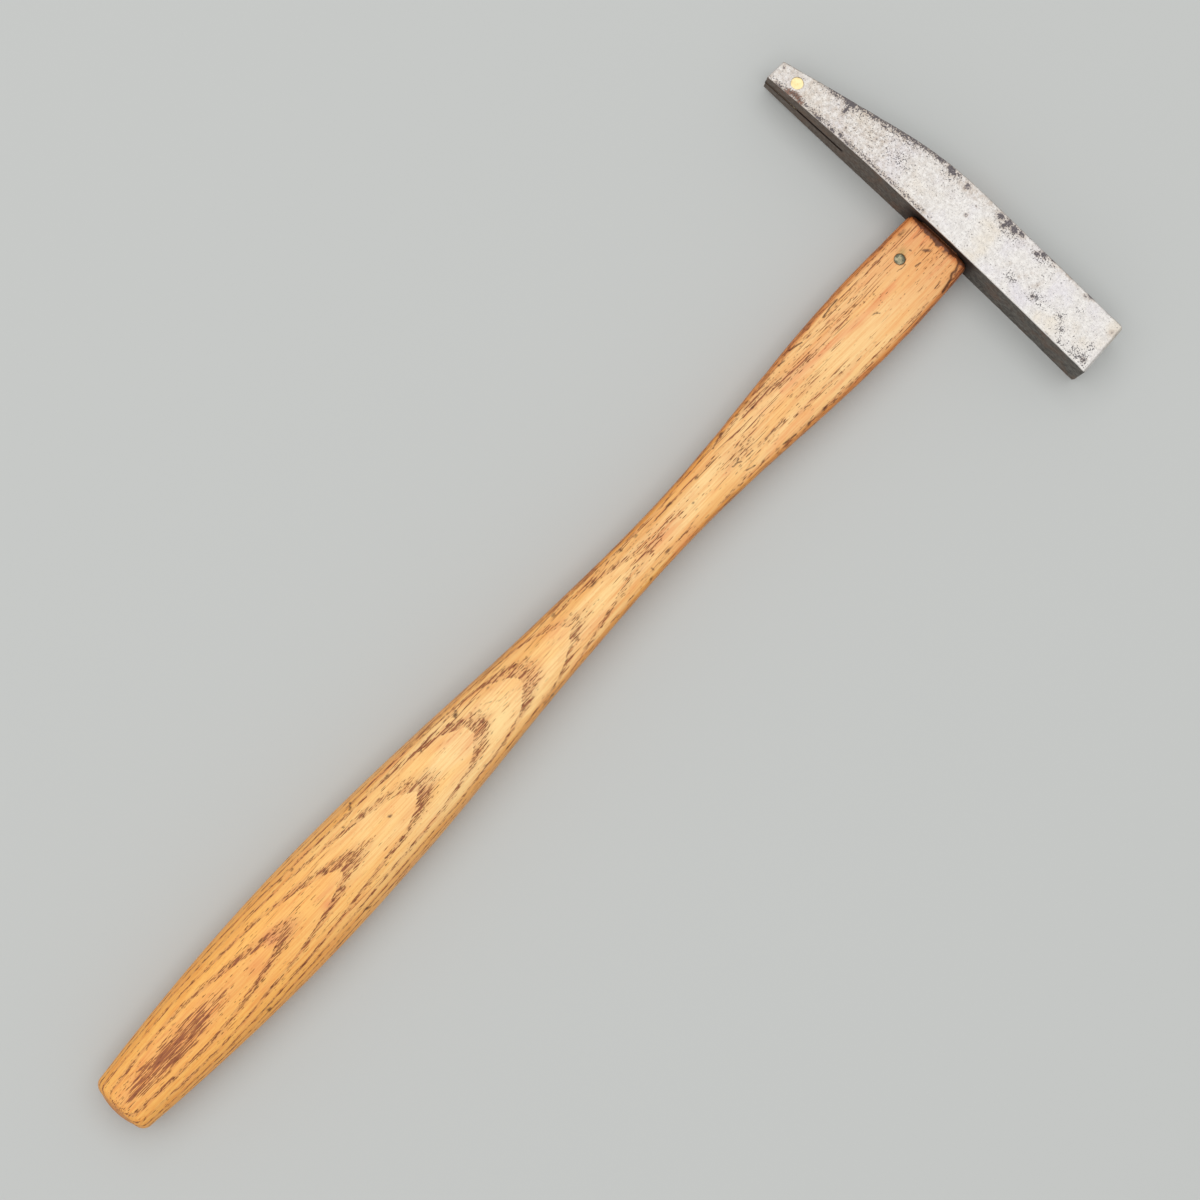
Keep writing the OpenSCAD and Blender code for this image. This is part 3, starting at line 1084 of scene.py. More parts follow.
@dataclass
class Head(Piece):
    """Forged head with a square face, a raised crest, an eye and a slotted magnetic tip."""

    node: str = "head"
    slot: str = "head_steel"
    face_depth: float = 16.1
    tip_depth: float = 6.2
    crest_from_tip: float = 61.0
    crest_radius: float = 115.0
    face_lean: float = 2.0
    tip_lean: float = 2.5
    face_bevel: float = 0.6
    tip_thickness: float = 8.6
    cheek_taper_length: float = 40.0
    slot_length: float = 27.0
    slot_width: float = 0.8
    spacer_length: float = 11.2
    rivet_diameter: float = 3.4
    rivet_from_tip: float = 6.8
    rivet_rise: float = 4.1
    corner: float = 0.42
    stations: int = 380
    cheek_points: int = 50
    top_points: int = 34
    corner_points: int = 5
    face_dome: float = 0.14
    face_from: float = 0.95
    face_rings: Pairs = ((0.62, 0.15), (0.5, 0.2), (0.38, 0.3), (0.22, 0.45), (0.1, 0.58), (0.03, 0.7))
    tip_from: float = 0.5
    tip_rings: Pairs = ((0.02, 0.16), (0.06, 0.08), (0.1, 0.03), (0.14, 0.01))
    tip_inset: float = 0.16
    tool_reach: float = 2.0
    pit_count: int = 420
    pit_seed: int = 41
    finish: SteelFinish = field(default_factory=SteelFinish)

    @property
    def face_slope(self) -> float:
        """Lean of the striking face as a slope."""
        return math.tan(math.radians(self.face_lean))

    @property
    def tip_slope(self) -> float:
        """Lean of the tip as a slope."""
        return math.tan(math.radians(self.tip_lean))

    @property
    def rivet_spot(self) -> Array:
        """Place of the rivet, as height above the butt and y."""
        return np.array([LAYOUT.underside + self.rivet_rise, LAYOUT.tip - self.rivet_from_tip])

    def underside(self, y: Array) -> Array:
        """Height of the underside, which is a shallow arch.

        Args:
            y: Places along the head.

        Returns:
            Heights above the butt.
        """
        half, rise = LAYOUT.head_length / 2, LAYOUT.underside_arch
        radius = (half ** 2 + rise ** 2) / (2 * rise)
        return LAYOUT.top_of_eye - radius + np.sqrt(radius ** 2 - (y - LAYOUT.middle) ** 2)

    def crest(self, y: Array) -> Array:
        """Height of the top: a wide arc with a straight slope to each end.

        Args:
            y: Places along the head.

        Returns:
            Heights above the butt.
        """
        centre = np.array([LAYOUT.overall_length - self.crest_radius, LAYOUT.tip - self.crest_from_tip])
        tip = np.array([LAYOUT.underside + self.tip_depth,
                        LAYOUT.tip - self.tip_depth * self.tip_slope])
        face = np.array([LAYOUT.underside + self.face_depth,
                         LAYOUT.face + self.face_depth * self.face_slope + self.face_bevel])
        result = centre[0] + np.sqrt(np.maximum(self.crest_radius ** 2 - (y - centre[1]) ** 2, 0))
        for end, side in ((tip, 1), (face, -1)):
            away = end - centre
            angle = math.atan2(away[1], away[0]) - side * math.acos(self.crest_radius / np.hypot(*away))
            touch = centre + self.crest_radius * np.array([math.cos(angle), math.sin(angle)])
            slope = (end[0] - touch[0]) / (end[1] - touch[1])
            beyond = (y - touch[1]) * side > 0
            result = np.where(beyond, touch[0] + (y - touch[1]) * slope, result)
        return result

    def half_thickness(self, y: Array) -> Array:
        """Half the thickness between the cheeks.

        Args:
            y: Places along the head.

        Returns:
            Half thicknesses.
        """
        half = LAYOUT.head_thickness / 2
        drop = half - self.tip_thickness / 2
        radius = (self.cheek_taper_length ** 2 + drop ** 2) / (2 * drop)
        run = np.clip(y - (LAYOUT.tip - self.cheek_taper_length), 0, self.cheek_taper_length + 1)
        return half - radius + np.sqrt(radius ** 2 - run ** 2)

    def along(self, share: Array, x: Array) -> Array:
        """Place along the head of a leaning station.

        Args:
            share: Station, from 0 at the striking face to 1 at the tip.
            x: Height above the butt.

        Returns:
            Places along the head.
        """
        rise = x - LAYOUT.underside
        face = LAYOUT.face + rise * self.face_slope
        tip = LAYOUT.tip - rise * self.tip_slope
        return face + (tip - face) * share

    def loop(self) -> Array:
        """Unit outline of a station: two side shares and two corner shares for each point.

        Returns:
            Rows of side in x, side in z, corner in x and corner in z.
        """
        rows = []
        top = np.linspace(-1, 1, self.top_points)
        cheek = np.linspace(-1, 1, self.cheek_points)
        bend = np.linspace(0, np.pi / 2, self.corner_points + 1)[1:-1]
        rows += [(-1, s, -1, 0) for s in top]
        rows += [(-1, 1, -math.cos(a), math.sin(a)) for a in bend]
        rows += [(s, 1, 0, 1) for s in cheek]
        rows += [(1, 1, math.sin(a), math.cos(a)) for a in bend]
        rows += [(1, -s, 1, 0) for s in top]
        rows += [(1, -1, math.cos(a), -math.sin(a)) for a in bend]
        rows += [(-s, -1, 0, -1) for s in cheek]
        rows += [(-1, -1, -math.sin(a), -math.cos(a)) for a in bend]
        return np.array(rows, float)

    def ring(self, share: float, inset: float = 0.0, push: float = 0.0, scale: float = 1.0) -> Array:
        """One station of the head.

        Args:
            share: Station, from 0 at the striking face to 1 at the tip.
            inset: How far its outline is drawn in.
            push: How far it is moved along the head.
            scale: Size of the outline about its middle.

        Returns:
            Points of the station.
        """
        loop = self.loop()
        low = high = LAYOUT.underside + self.face_depth / 2
        for _ in range(4):
            low = float(self.underside(self.along(share, low)))
            high = float(self.crest(self.along(share, high)))
        middle, half = (low + high) / 2, (high - low) / 2 - inset
        x = middle + scale * (loop[:, 0] * (half - self.corner) + loop[:, 2] * self.corner)
        y = self.along(share, x) + push
        thick = self.half_thickness(y) - inset
        z = scale * (loop[:, 1] * (thick - self.corner) + loop[:, 3] * self.corner)
        return np.stack([x, y, z], axis=1)

    def build(self) -> Solid:
        """Draws the skin over the stations, then cuts the eye, the slot and the rivet hole.

        Returns:
            The object.
        """
        domed = np.linspace(0.04, 0.985, 22)
        rings = [self.ring(0, self.face_bevel, self.face_dome * s * s, s) for s in domed]
        rings += [self.ring(0, inset, push) for inset, push in self.face_rings]
        ends = (self.face_from / LAYOUT.head_length, 1 - self.tip_from / LAYOUT.head_length)
        rings += [self.ring(share) for share in np.linspace(*ends, self.stations)]
        rings += [self.ring(1, inset, -push) for inset, push in self.tip_rings]
        rings += [self.ring(1, self.tip_inset, 0, s) for s in np.linspace(0.97, 0.06, 16)]
        made = skin_rings("head_forging", np.array(rings))
        eye = stadium(LAYOUT.eye_length, LAYOUT.eye_width)
        reach = (LAYOUT.underside - self.tool_reach, LAYOUT.overall_length + self.tool_reach)
        carve(made, drawn_out("eye_tool", eye, *reach, Axis.X), Carve.CUT)
        half = self.slot_width / 2
        y_start, y_end = LAYOUT.tip - self.slot_length, LAYOUT.tip + self.tool_reach
        slot = np.array([[y_start, -half], [y_end, -half], [y_end, half], [y_start, half]])
        carve(made, drawn_out("slot_tool", slot, *reach, Axis.X), Carve.CUT)
        drill(made, self.rivet_spot, self.rivet_diameter, LAYOUT.head_thickness / 2 + self.tool_reach)
        return made

    def survey(self, points: Array) -> HeadSurvey:
        """Measures how far each point lies from each side of the head.

        Args:
            points: Points in the hammer's own frame.

        Returns:
            The points with their distances.
        """
        x, y, z = points.T
        rise = x - LAYOUT.underside
        return HeadSurvey(
            points,
            cheek=self.half_thickness(y) - np.abs(z),
            underside=x - self.underside(y),
            top=self.crest(y) - x,
            face=y - LAYOUT.face - rise * self.face_slope,
            tip=LAYOUT.tip - rise * self.tip_slope - y)

    def marks(self) -> list[Mark]:
        """Stains and pits of the upper cheek, placed by height above the underside and by y."""
        rows = (
            (9.4, 41.3, 0.8, 2.2, 12, 0.03, 0.8), (7.5, 41.2, 1.6, 0.65, 4, 0.03, 0.9),
            (10.0, 41.4, 0.5, 2.6, 14, 0.02, 0.75), (11.0, 34.8, 0.5, 2.2, 5, 0.02, 0.7),
            (11.3, 30.8, 0.6, 1.2, 0, 0.02, 0.65), (12.8, 27.6, 0.5, 1.6, 20, 0.0, 0.6),
            (8.6, 46.4, 0.6, 2.2, 6, 0.0, 0.62), (4.9, 60.6, 0.5, 0.5, 0, 0.0, 0.55),
            (6.8, 56.3, 0.5, 0.4, 0, 0.0, 0.45), (8.4, 51.1, 0.5, 0.5, 0, 0.0, 0.45),
            (3.9, 38.0, 0.6, 0.5, 0, 0.03, 0.6), (3.2, 26.3, 2.0, 0.4, -25, 0.02, 0.5),
            (12.9, 25.4, 0.5, 2.4, 12, 0.0, 0.6), (14.3, 20.9, 0.5, 2.8, 12, 0.02, 0.65),
            (15.2, 14.5, 0.7, 1.6, 0, 0.02, 0.75), (15.2, 10.2, 1.0, 1.8, -10, 0.05, 0.95),
            (15.6, 8.2, 0.6, 1.0, 0, 0.02, 0.7), (15.0, 4.4, 1.1, 1.2, 0, 0.04, 0.85),
            (9.05, -0.4, 0.5, 0.6, 0, 0.12, 0.95), (12.5, -0.8, 0.3, 0.35, 0, 0.05, 0.7),
            (15.3, -7.2, 1.1, 1.3, 0, 0.05, 0.95), (15.4, -9.9, 1.3, 1.3, 0, 0.06, 1.0),
            (13.8, -9.5, 0.9, 0.9, 0, 0.03, 0.85), (15.1, -12.2, 1.2, 1.5, 0, 0.05, 1.0),
            (15.6, -14.2, 0.8, 1.4, 0, 0.04, 0.85), (14.5, -20.9, 0.8, 1.1, 0, 0.04, 0.85),
            (15.6, -22.4, 0.9, 1.5, 0, 0.04, 0.9), (16.2, -24.8, 0.5, 1.5, 0, 0.02, 0.8),
            (15.3, -26.2, 0.4, 1.0, 0, 0.0, 0.5), (15.9, -38.6, 0.7, 1.4, 0, 0.04, 0.8),
            (15.2, -37.6, 0.6, 0.9, 0, 0.03, 0.7), (12.9, -49.2, 0.8, 0.7, 0, 0.0, 0.6),
            (5.4, -27.6, 0.7, 0.6, 0, 0.06, 0.75), (2.4, -48.4, 0.9, 0.9, 0, 0.03, 0.5),
            (0.9, 45.0, 0.7, 1.8, 0, 0.0, 0.75), (1.0, 40.1, 0.6, 1.6, 0, 0.0, 0.7),
            (1.7, 37.5, 0.7, 1.2, 0, 0.0, 0.7), (1.1, 34.7, 0.6, 1.6, 0, 0.0, 0.65),
            (0.4, 58.3, 0.5, 1.8, 0, 0.0, 0.7), (1.4, 14.8, 0.5, 0.8, 0, 0.0, 0.5),
            (1.7, 11.8, 0.4, 0.6, 0, 0.0, 0.45), (1.2, 2.4, 0.4, 0.7, 0, 0.0, 0.45),
            (0.6, -36.9, 0.4, 1.6, 0, 0.0, 0.5),
        )
        return [Mark(*row) for row in rows]

    def pepper_marks(self) -> list[Mark]:
        """Places of the upper cheek that are thick with small pits."""
        rows = (
            (5.1, -20.1, 1.6, 2.0), (5.6, -28.8, 1.8, 3.2), (6.6, -36.4, 1.6, 1.6), (4.1, -38.8, 1.4, 1.4),
            (1.1, -40.4, 1.2, 1.6), (2.2, -45.4, 1.8, 2.2), (2.4, -48.6, 1.6, 1.8), (6.3, -47.3, 1.4, 1.4),
            (11.0, -38.6, 1.2, 1.2, 0, 0, 0.7), (7.8, 21.8, 2.2, 3.0, 0, 0, 0.7),
            (13.6, -11.0, 2.2, 5.0, 0, 0, 0.7), (14.4, -23.0, 1.8, 3.4, 0, 0, 0.7),
            (13.6, 9.6, 2.4, 4.0, 0, 0, 0.6), (8.6, 40.0, 2.6, 4.6, 0, 0, 0.35),
            (7.0, 31.0, 4.0, 8.0, 0, 0, 0.25), (12.4, 24.0, 1.6, 8.0, 10, 0, 0.5),
        )
        return [Mark(*row) for row in rows]

    def patina_marks(self) -> list[Mark]:
        """Places of the upper cheek that are brown and dull."""
        rows = (
            (8.1, 29.9, 3.0, 5.0, 0, 0, 0.8), (6.0, 41.0, 5.0, 9.0, 0, 0, 0.7),
            (12.6, 26.0, 1.6, 9.0, 10, 0, 0.9), (1.0, 46.0, 1.4, 9.0, 0, 0, 0.9),
            (16.0, -30.4, 0.7, 4.4, 0, 0, 1.0), (7.4, -21.9, 2.6, 0.6, -30, 0, 0.6),
            (8.4, -26.5, 2.6, 0.6, -30, 0, 0.6), (6.9, -16.7, 2.0, 0.6, -30, 0, 0.5),
            (12.8, -49.2, 1.6, 1.2, 0, 0, 0.4), (14.6, -11.0, 2.2, 6.0, 0, 0, 0.6),
            (14.8, 2.0, 1.6, 12.0, 10, 0, 0.8),
        )
        return [Mark(*row) for row in rows]

    def rust_marks(self) -> list[Mark | Streak]:
        """Rusty places of the upper cheek."""
        marks = (
            (1.4, 53.3, 1.1, 1.5, 0, 0, 0.95),
        )
        streaks = (
            (((0.6, 55.9), (1.3, 54.4), (1.5, 52.8), (0.9, 51.2)), 1.2, 0, 0.72),
        )
        return [Mark(*row) for row in marks] + [Streak(*row) for row in streaks]

    def dents(self) -> list[tuple[float, float, float, float, float]]:
        """Seeded small pits of both cheeks.

        Returns:
            Rows of height above the underside, y, side, radius and depth.
        """
        rng = np.random.default_rng(self.pit_seed)
        rows = []
        for _ in range(self.pit_count):
            y = rng.uniform(LAYOUT.face + 1, LAYOUT.tip - 1)
            rise = rng.uniform(0.5, 16.0)
            side = rng.choice((-1.0, 1.0))
            rows.append((rise, y, side, rng.uniform(0.25, 0.5), rng.uniform(0.01, 0.035)))
        return rows

    def dress(self, made: Solid) -> None:
        """Wears the edges, sinks the pits and stores the fields of the finish.

        Args:
            made: Object that build() returned.
        """
        points, normals = read_vertices(made.data)
        at = self.survey(points)
        sink, stain = self.wear(at)
        move_vertices(made.data, points - normals * sink[:, None])
        write_fields(made.data, self.surface_fields(at, stain) | self.edge_fields(at))

    def wear(self, at: HeadSurvey) -> tuple[Array, Array]:
        """Worn edges, uneven forging, pits and the dented face.

        Args:
            at: The head's points.

        Returns:
            How far each point sinks, and how dark its stain is.
        """
        points, rise, y = at.points, at.rise, at.y
        to_side, to_edge = at.gaps[:2]
        sink = 0.022 * (1 + lattice(points, (9, 14, 9), 3))
        sink += 0.008 * (1 + lattice(points, (2.4, 3.2, 2.4), 5))
        sink += 0.12 * patches(points, (2.0, 3.0, 2.0), 9, 0.4, 0.85) * bell(to_edge, 0.6)
        depth, stain = printed(self.marks(), rise, y, at.on_cheek * at.upper)
        sink += depth
        lower = patches(points, (5, 8, 5), 21, 0.45, 0.75) * at.on_cheek * (1 - at.upper)
        for pit_rise, pit_y, side, radius, pit_depth in self.dents():
            near = np.hypot(rise - pit_rise, y - pit_y)
            sink += pit_depth * bell(near, radius) * at.on_cheek * (at.z * side > 0)
        on_face = (at.face < 0.5) & (to_edge > 0.5)
        sink += on_face * 0.05 * patches(points, (1.8, 1.8, 1.8), 31, 0.2, 0.7)
        return sink * smooth(1.2, 0.9, to_side), np.maximum(stain, 0.8 * lower)

    def surface_fields(self, at: HeadSurvey, stain: Array) -> dict[str, Array]:
        """Skin, stains, pepper, rust and patina.

        Args:
            at: The head's points.
            stain: Stains that wear() left.

        Returns:
            The fields by name.
        """
        points, rise, y, upper = at.points, at.rise, at.y, at.upper
        on_upper = at.on_cheek * upper
        sides, ends = np.minimum(at.underside, at.top), np.minimum(at.face, at.tip)
        nearest = np.minimum(at.cheek, sides)
        skin = smooth(-0.3, 0.3, at.cheek - sides - 0.15) * smooth(-0.3, 0.3, ends - nearest + 0.3)
        skin = np.maximum(skin, 0.55 * smooth(0.2, -0.2, at.tip - nearest))

        top_edge = np.exp(-at.top / 0.5) * at.on_cheek * patches(points, (3, 4.5, 3), 13, -0.1, 0.6)
        band = bell(at.top, 1.5) * between((4, 16, 46, 54), y) * on_upper
        low_band = bell(at.underside - 0.9, 0.9) * smooth(2, 10, y) * on_upper
        stain = highest(stain, 0.6 * top_edge, 0.52 * band, 0.38 * low_band * smooth(60, 50, y))

        pepper = sum(mark.stain * mark.weight(rise, y) for mark in self.pepper_marks()) * upper
        pepper += 0.75 * band + 0.6 * low_band + 0.1 * smooth(14, 26, y) * upper
        pepper += 0.8 * (1 - upper) * patches(points, (6, 9, 6), 23, 0, 0.6)
        patina = highest(0.2 * smooth(0, 10, y) + 0.4 * smooth(12, 40, y), band, 0.8 * low_band,
                         strongest(self.patina_marks(), rise, y) * upper)
        rust = strongest(self.rust_marks(), rise, y) * on_upper
        return {"skin": skin, "stain": stain, "pepper": pepper, "rust": rust, "patina": patina}

    def edge_fields(self, at: HeadSurvey) -> dict[str, Array]:
        """Rubbed bright edges with a painted highlight, the slot in painted shade with its rusty, partly
        shaded rim, and soiling with painted shade on the underside round the handle.

        Args:
            at: The head's points.

        Returns:
            The fields by name.
        """
        points, y = at.points, at.y
        low_side = (at.underside < at.top) & (at.face > -1)
        # Bright rubbed edges, partly a painted highlight, stronger on the underside and face edges.
        edge = bell(at.gaps[1], np.where(at.top < 0.6, 0.3, 0.34))
        edge *= np.where(low_side | (at.face < 1.2), 1.0, 0.55)
        edge *= 1 - smooth(4, 20, y) * np.clip(0.58 + 0.6 * lattice(points, (2, 3.4, 2), 53), 0, 1)
        # Painted shade inside the narrow slot, less where the spacer fills it.
        from_slot = np.maximum(np.abs(at.z) - self.slot_width / 2, LAYOUT.tip - self.slot_length - y)
        filled = LAYOUT.tip - self.spacer_length
        slot = 1 - np.maximum(from_slot, 0) - 0.13 * smooth(filled - 0.4, filled + 0.4, y)
        # Rust round the slot on the narrow sides, partly painted shade.
        rim = bell(np.maximum(from_slot - 0.1, 0), 0.3) * (at.cheek > 1.5)
        # Soiling and painted shade on the underside next to the handle, where the wood meets the head.
        from_wood = np.maximum(np.abs(y) - 9.6, 0) + 1.2 * lattice(points, (2.5, 2.5, 2.5), 47)
        darkening = smooth(3.4, 0.0, from_wood) * smooth(0.9, 0.3, at.underside) * smooth(0.35, 0.7, at.cheek)
        return {"edge": edge, "rim": rim, "slot": np.clip(slot, 0, 1), "darkening": darkening}


@dataclass(frozen=True)
class HandleSurvey:
    """Points of the handle with their normals, and where on it each of them lies."""

    points: Array
    normals: Array
    across: Array
    flatness: Array

    @property
    def from_shoulder(self) -> Array:
        """Distance from the shoulder, towards the butt."""
        return LAYOUT.handle_length - self.points[:, 0]

    @property
    def on_body(self) -> Array:
        """1 on the handle itself, 0 on its tenon."""
        return smooth(-0.1, 0.1, self.from_shoulder)

    @property
    def top_side(self) -> Array:
        """1 on the upper half of the handle itself."""
        return smooth(-0.5, 0.5, self.points[:, 2]) * self.on_body

    @property
    def slope(self) -> Array:
        """How level the surface is: 1 on top and below, 0 on the sides."""
        return np.abs(self.normals[:, 2])

    @property
    def ripple(self) -> Array:
        """Place across the handle, from -1 to 1, made a little uneven."""
        return self.across + 0.07 * lattice(self.points, (22, 30, 30), 33)


@dataclass
class Handle(Piece):
    """Ash handle: oval grip, thin waist, flat bevelled neck and a tenon in the eye."""

    node: str = "handle"
    slot: str = "handle_ash"
    crease: float = 50.0
    widths: Pairs = (
        (0, 16.6), (30, 22.2), (72, 25.1), (98, 23.9), (161, 15.9), (203, 13.1), (281, 21.7), (306.7, 20.6))
    thicknesses: Pairs = (
        (0, 11.6), (72, 16.4), (203, 10.8), (281, 9.2), (306.7, 8.8))
    belly: float = 72.0
    waist: float = 203.0
    grip_power: float = 2.6
    neck_power: float = 8.0
    grip_bevel: float = 0.52
    neck_bevel: float = 1 / 1.78
    butt_dome: float = 1.0
    butt_rounding: float = 2.4
    shoulder_rounding: float = 1.2
    upper_points: int = 84
    lower_points: int = 40
    grip_step: float = 0.7
    neck_step: float = 0.28
    neck_from: float = 225.0
    clearance: float = 0.04
    wedge_thickness: float = 1.8
    wedge_point: float = 0.6
    wedge_length: float = 11.0
    kerf_width: float = 0.8
    kerf_extra: float = 2.5
    pin_diameter: float = 3.0
    pin_x: float = 295.0
    pin_y: float = 4.2
    ring_width: float = 1.4
    ring_tilt: float = 0.016
    ring_counts: Pairs = (
        (-5, 0.62), (4, 0.42), (12, 0.2), (22, 0.08), (30, 0.13), (40, 0.42), (50, 0.76), (57.7, 1.0),
        (81.5, 2.0), (108, 3.0), (129, 4.0), (147, 5.0), (167.7, 6.0), (189.5, 7.0), (240, 7.9), (330, 9.4))
    lens: Mark = Mark(22, 0.5, 20, 3.2, stain=0.22)
    fibre_drift: Pairs = (
        (-5, 0.0), (150, 0.0), (203, 0.4), (240, -0.2), (280, -1.4), (330, -2.0))
    butt_seam: float = 1.2
    kerf_seat: float = 1.2
    tool_reach: float = 9.0
    tenon_drop: float = 0.07
    tenon_rings: Pairs = ((1.0, 0.35), (0.995, 0.16), (0.97, 0.08))
    peak_span: Span = (150, 172, 200, 214)
    tan_span: Span = (146, 170, 200, 216)
    waist_span: Span = (118, 142, 220, 236)
    left_grain_span: Span = (88, 130, 226, 246)
    clean_span: Span = (234, 248, 292, 302)
    finish: AshFinish = field(default_factory=AshFinish)

    @staticmethod
    def curve(stations: Pairs, x: Array) -> Array:
        """Smooth curve through stations, level where the sizes turn from growing to shrinking.

        Args:
            stations: Places and the size at each.
            x: Places at which the size is wanted.

        Returns:
            The sizes.
        """
        places = np.array([s[0] for s in stations], float)
        sizes = np.array([s[1] for s in stations], float)
        spans = np.diff(places)
        rises = np.diff(sizes) / spans
        slopes = np.zeros(len(places))
        inner = (rises[1:] * spans[:-1] + rises[:-1] * spans[1:]) / (spans[:-1] + spans[1:])
        slopes[1:-1] = np.where(rises[1:] * rises[:-1] <= 0, 0, inner)
        slopes[0] = 1.5 * rises[0] - slopes[1] / 2
        slopes[-1] = 1.5 * rises[-1] - slopes[-2] / 2
        x = np.clip(np.asarray(x, float), places[0], places[-1])
        i = np.clip(np.searchsorted(places, x) - 1, 0, len(spans) - 1)
        u = (x - places[i]) / spans[i]
        return ((2 * u ** 3 - 3 * u ** 2 + 1) * sizes[i] + (u ** 3 - 2 * u ** 2 + u) * spans[i] * slopes[i]
                + (3 * u ** 2 - 2 * u ** 3) * sizes[i + 1] + (u ** 3 - u ** 2) * spans[i] * slopes[i + 1])

    def section(self, x: float, inset: float, scale: float) -> Array:
        """Outline across the handle, with its points evenly spaced.

        Args:
            x: Place that gives the shape.
            inset: How far the outline is drawn in.
            scale: Size of the outline about its middle.

        Returns:
            Rows of y and z.
        """
        flatness = float(smooth(self.belly, self.waist, x))
        power = self.grip_power + (self.neck_power - self.grip_power) * flatness
        share = self.grip_bevel + (self.neck_bevel - self.grip_bevel) * flatness
        angles = np.linspace(0, 2 * np.pi, 721)
        c, s = np.abs(np.cos(angles)), np.abs(np.sin(angles))
        radius = (c ** power + s ** power + (share * (c + s)) ** power) ** (-1 / power)
        radius *= (1 + share ** power) ** (1 / power)
        half_width = scale * (float(self.curve(self.widths, x)) / 2 - inset)
        half_thick = scale * (float(self.curve(self.thicknesses, x)) / 2 - inset)
        y = half_width * radius * np.cos(angles)
        z = half_thick * radius * np.sin(angles)
        length = np.concatenate([[0], np.cumsum(np.hypot(np.diff(y), np.diff(z)))])
        upper, lower = self.upper_points, self.lower_points
        even = np.concatenate([np.arange(upper) / upper, 1 + np.arange(lower) / lower]) * length[-1] / 2
        return np.stack([np.interp(even, length, y), np.interp(even, length, z)], axis=1)

    def ring(self, x: float, shape_x: float, inset: float = 0.0, scale: float = 1.0) -> Array:
        """One ring of the handle."""
        return np.insert(self.section(shape_x, inset, scale), 0, x, axis=1)

    def build(self) -> Solid:
        """Draws the skin over the rings, joins the tenon and cuts the kerf and the pin hole.

        Returns:
            The object.
        """
        length = LAYOUT.handle_length
        domed = np.linspace(0.03, 0.97, 16)
        rings = [self.ring(self.butt_dome * s * s, 0, self.butt_rounding, s) for s in domed]
        for a in np.linspace(0, math.radians(82), 9):
            x = self.butt_dome + self.butt_rounding * (1 - math.cos(a))
            rings.append(self.ring(x, x, self.butt_rounding * (1 - math.sin(a))))
        start = self.butt_dome + self.butt_rounding
        stop = length - self.shoulder_rounding
        places = np.concatenate([np.arange(start, self.neck_from, self.grip_step),
                                 np.arange(self.neck_from, stop, self.neck_step)])
        rings += [self.ring(x, x) for x in places]
        for a in np.linspace(math.radians(80), 0, 7):
            x = length - self.shoulder_rounding * (1 - math.cos(a))
            rings.append(self.ring(x, x, self.shoulder_rounding * (1 - math.sin(a))))
        rings += [self.ring(length, length, self.shoulder_rounding, s) for s in np.linspace(0.96, 0.05, 22)]
        made = skin_rings("handle_ash", np.array(rings))
        carve(made, self.tenon(), Carve.JOIN)
        self.cut_kerf(made)
        drill(made, np.array([self.pin_x, self.pin_y]), self.pin_diameter, self.tool_reach)
        return made

    def tenon(self) -> Solid:
        """Tenon that fills the eye and ends flush with the crest.

        Returns:
            The object.
        """
        crest = Head().crest
        outline = stadium(LAYOUT.eye_length - 2 * self.clearance, LAYOUT.eye_width - 2 * self.clearance, 144)
        below = LAYOUT.handle_length - LAYOUT.eye_width
        places = np.linspace(below, LAYOUT.overall_length - 1.5, 26)
        rings = [np.insert(outline, 0, x, axis=1) for x in places]
        for scale, drop in self.tenon_rings:
            flat = outline * (scale, scale)
            rings.append(np.insert(flat, 0, crest(flat[:, 0]) - drop, axis=1))
        for scale in np.linspace(0.93, 0.05, 16):
            flat = outline * (scale, scale)
            rings.append(np.insert(flat, 0, crest(flat[:, 0]) - self.tenon_drop, axis=1))
        return skin_rings("tenon_tool", np.array(rings))

    def cut_kerf(self, made: Solid) -> None:
        """Cuts the wedge seat and the saw cut below it.

        Args:
            made: Handle that is cut.
        """
        base, over = LAYOUT.overall_length - self.wedge_length, LAYOUT.overall_length + 1
        top = self.wedge_thickness / 2 + self.clearance
        kerf = self.kerf_width / 2
        seat = max(kerf, self.wedge_point / 2 + self.clearance)
        outline = np.array([
            [base - self.kerf_extra, -kerf], [base + self.kerf_seat, -seat], [over, -top],
            [over, top], [base + self.kerf_seat, seat], [base - self.kerf_extra, kerf]])
        carve(made, drawn_out("kerf_tool", outline, -LAYOUT.eye_length, LAYOUT.eye_length, Axis.Y), Carve.CUT)

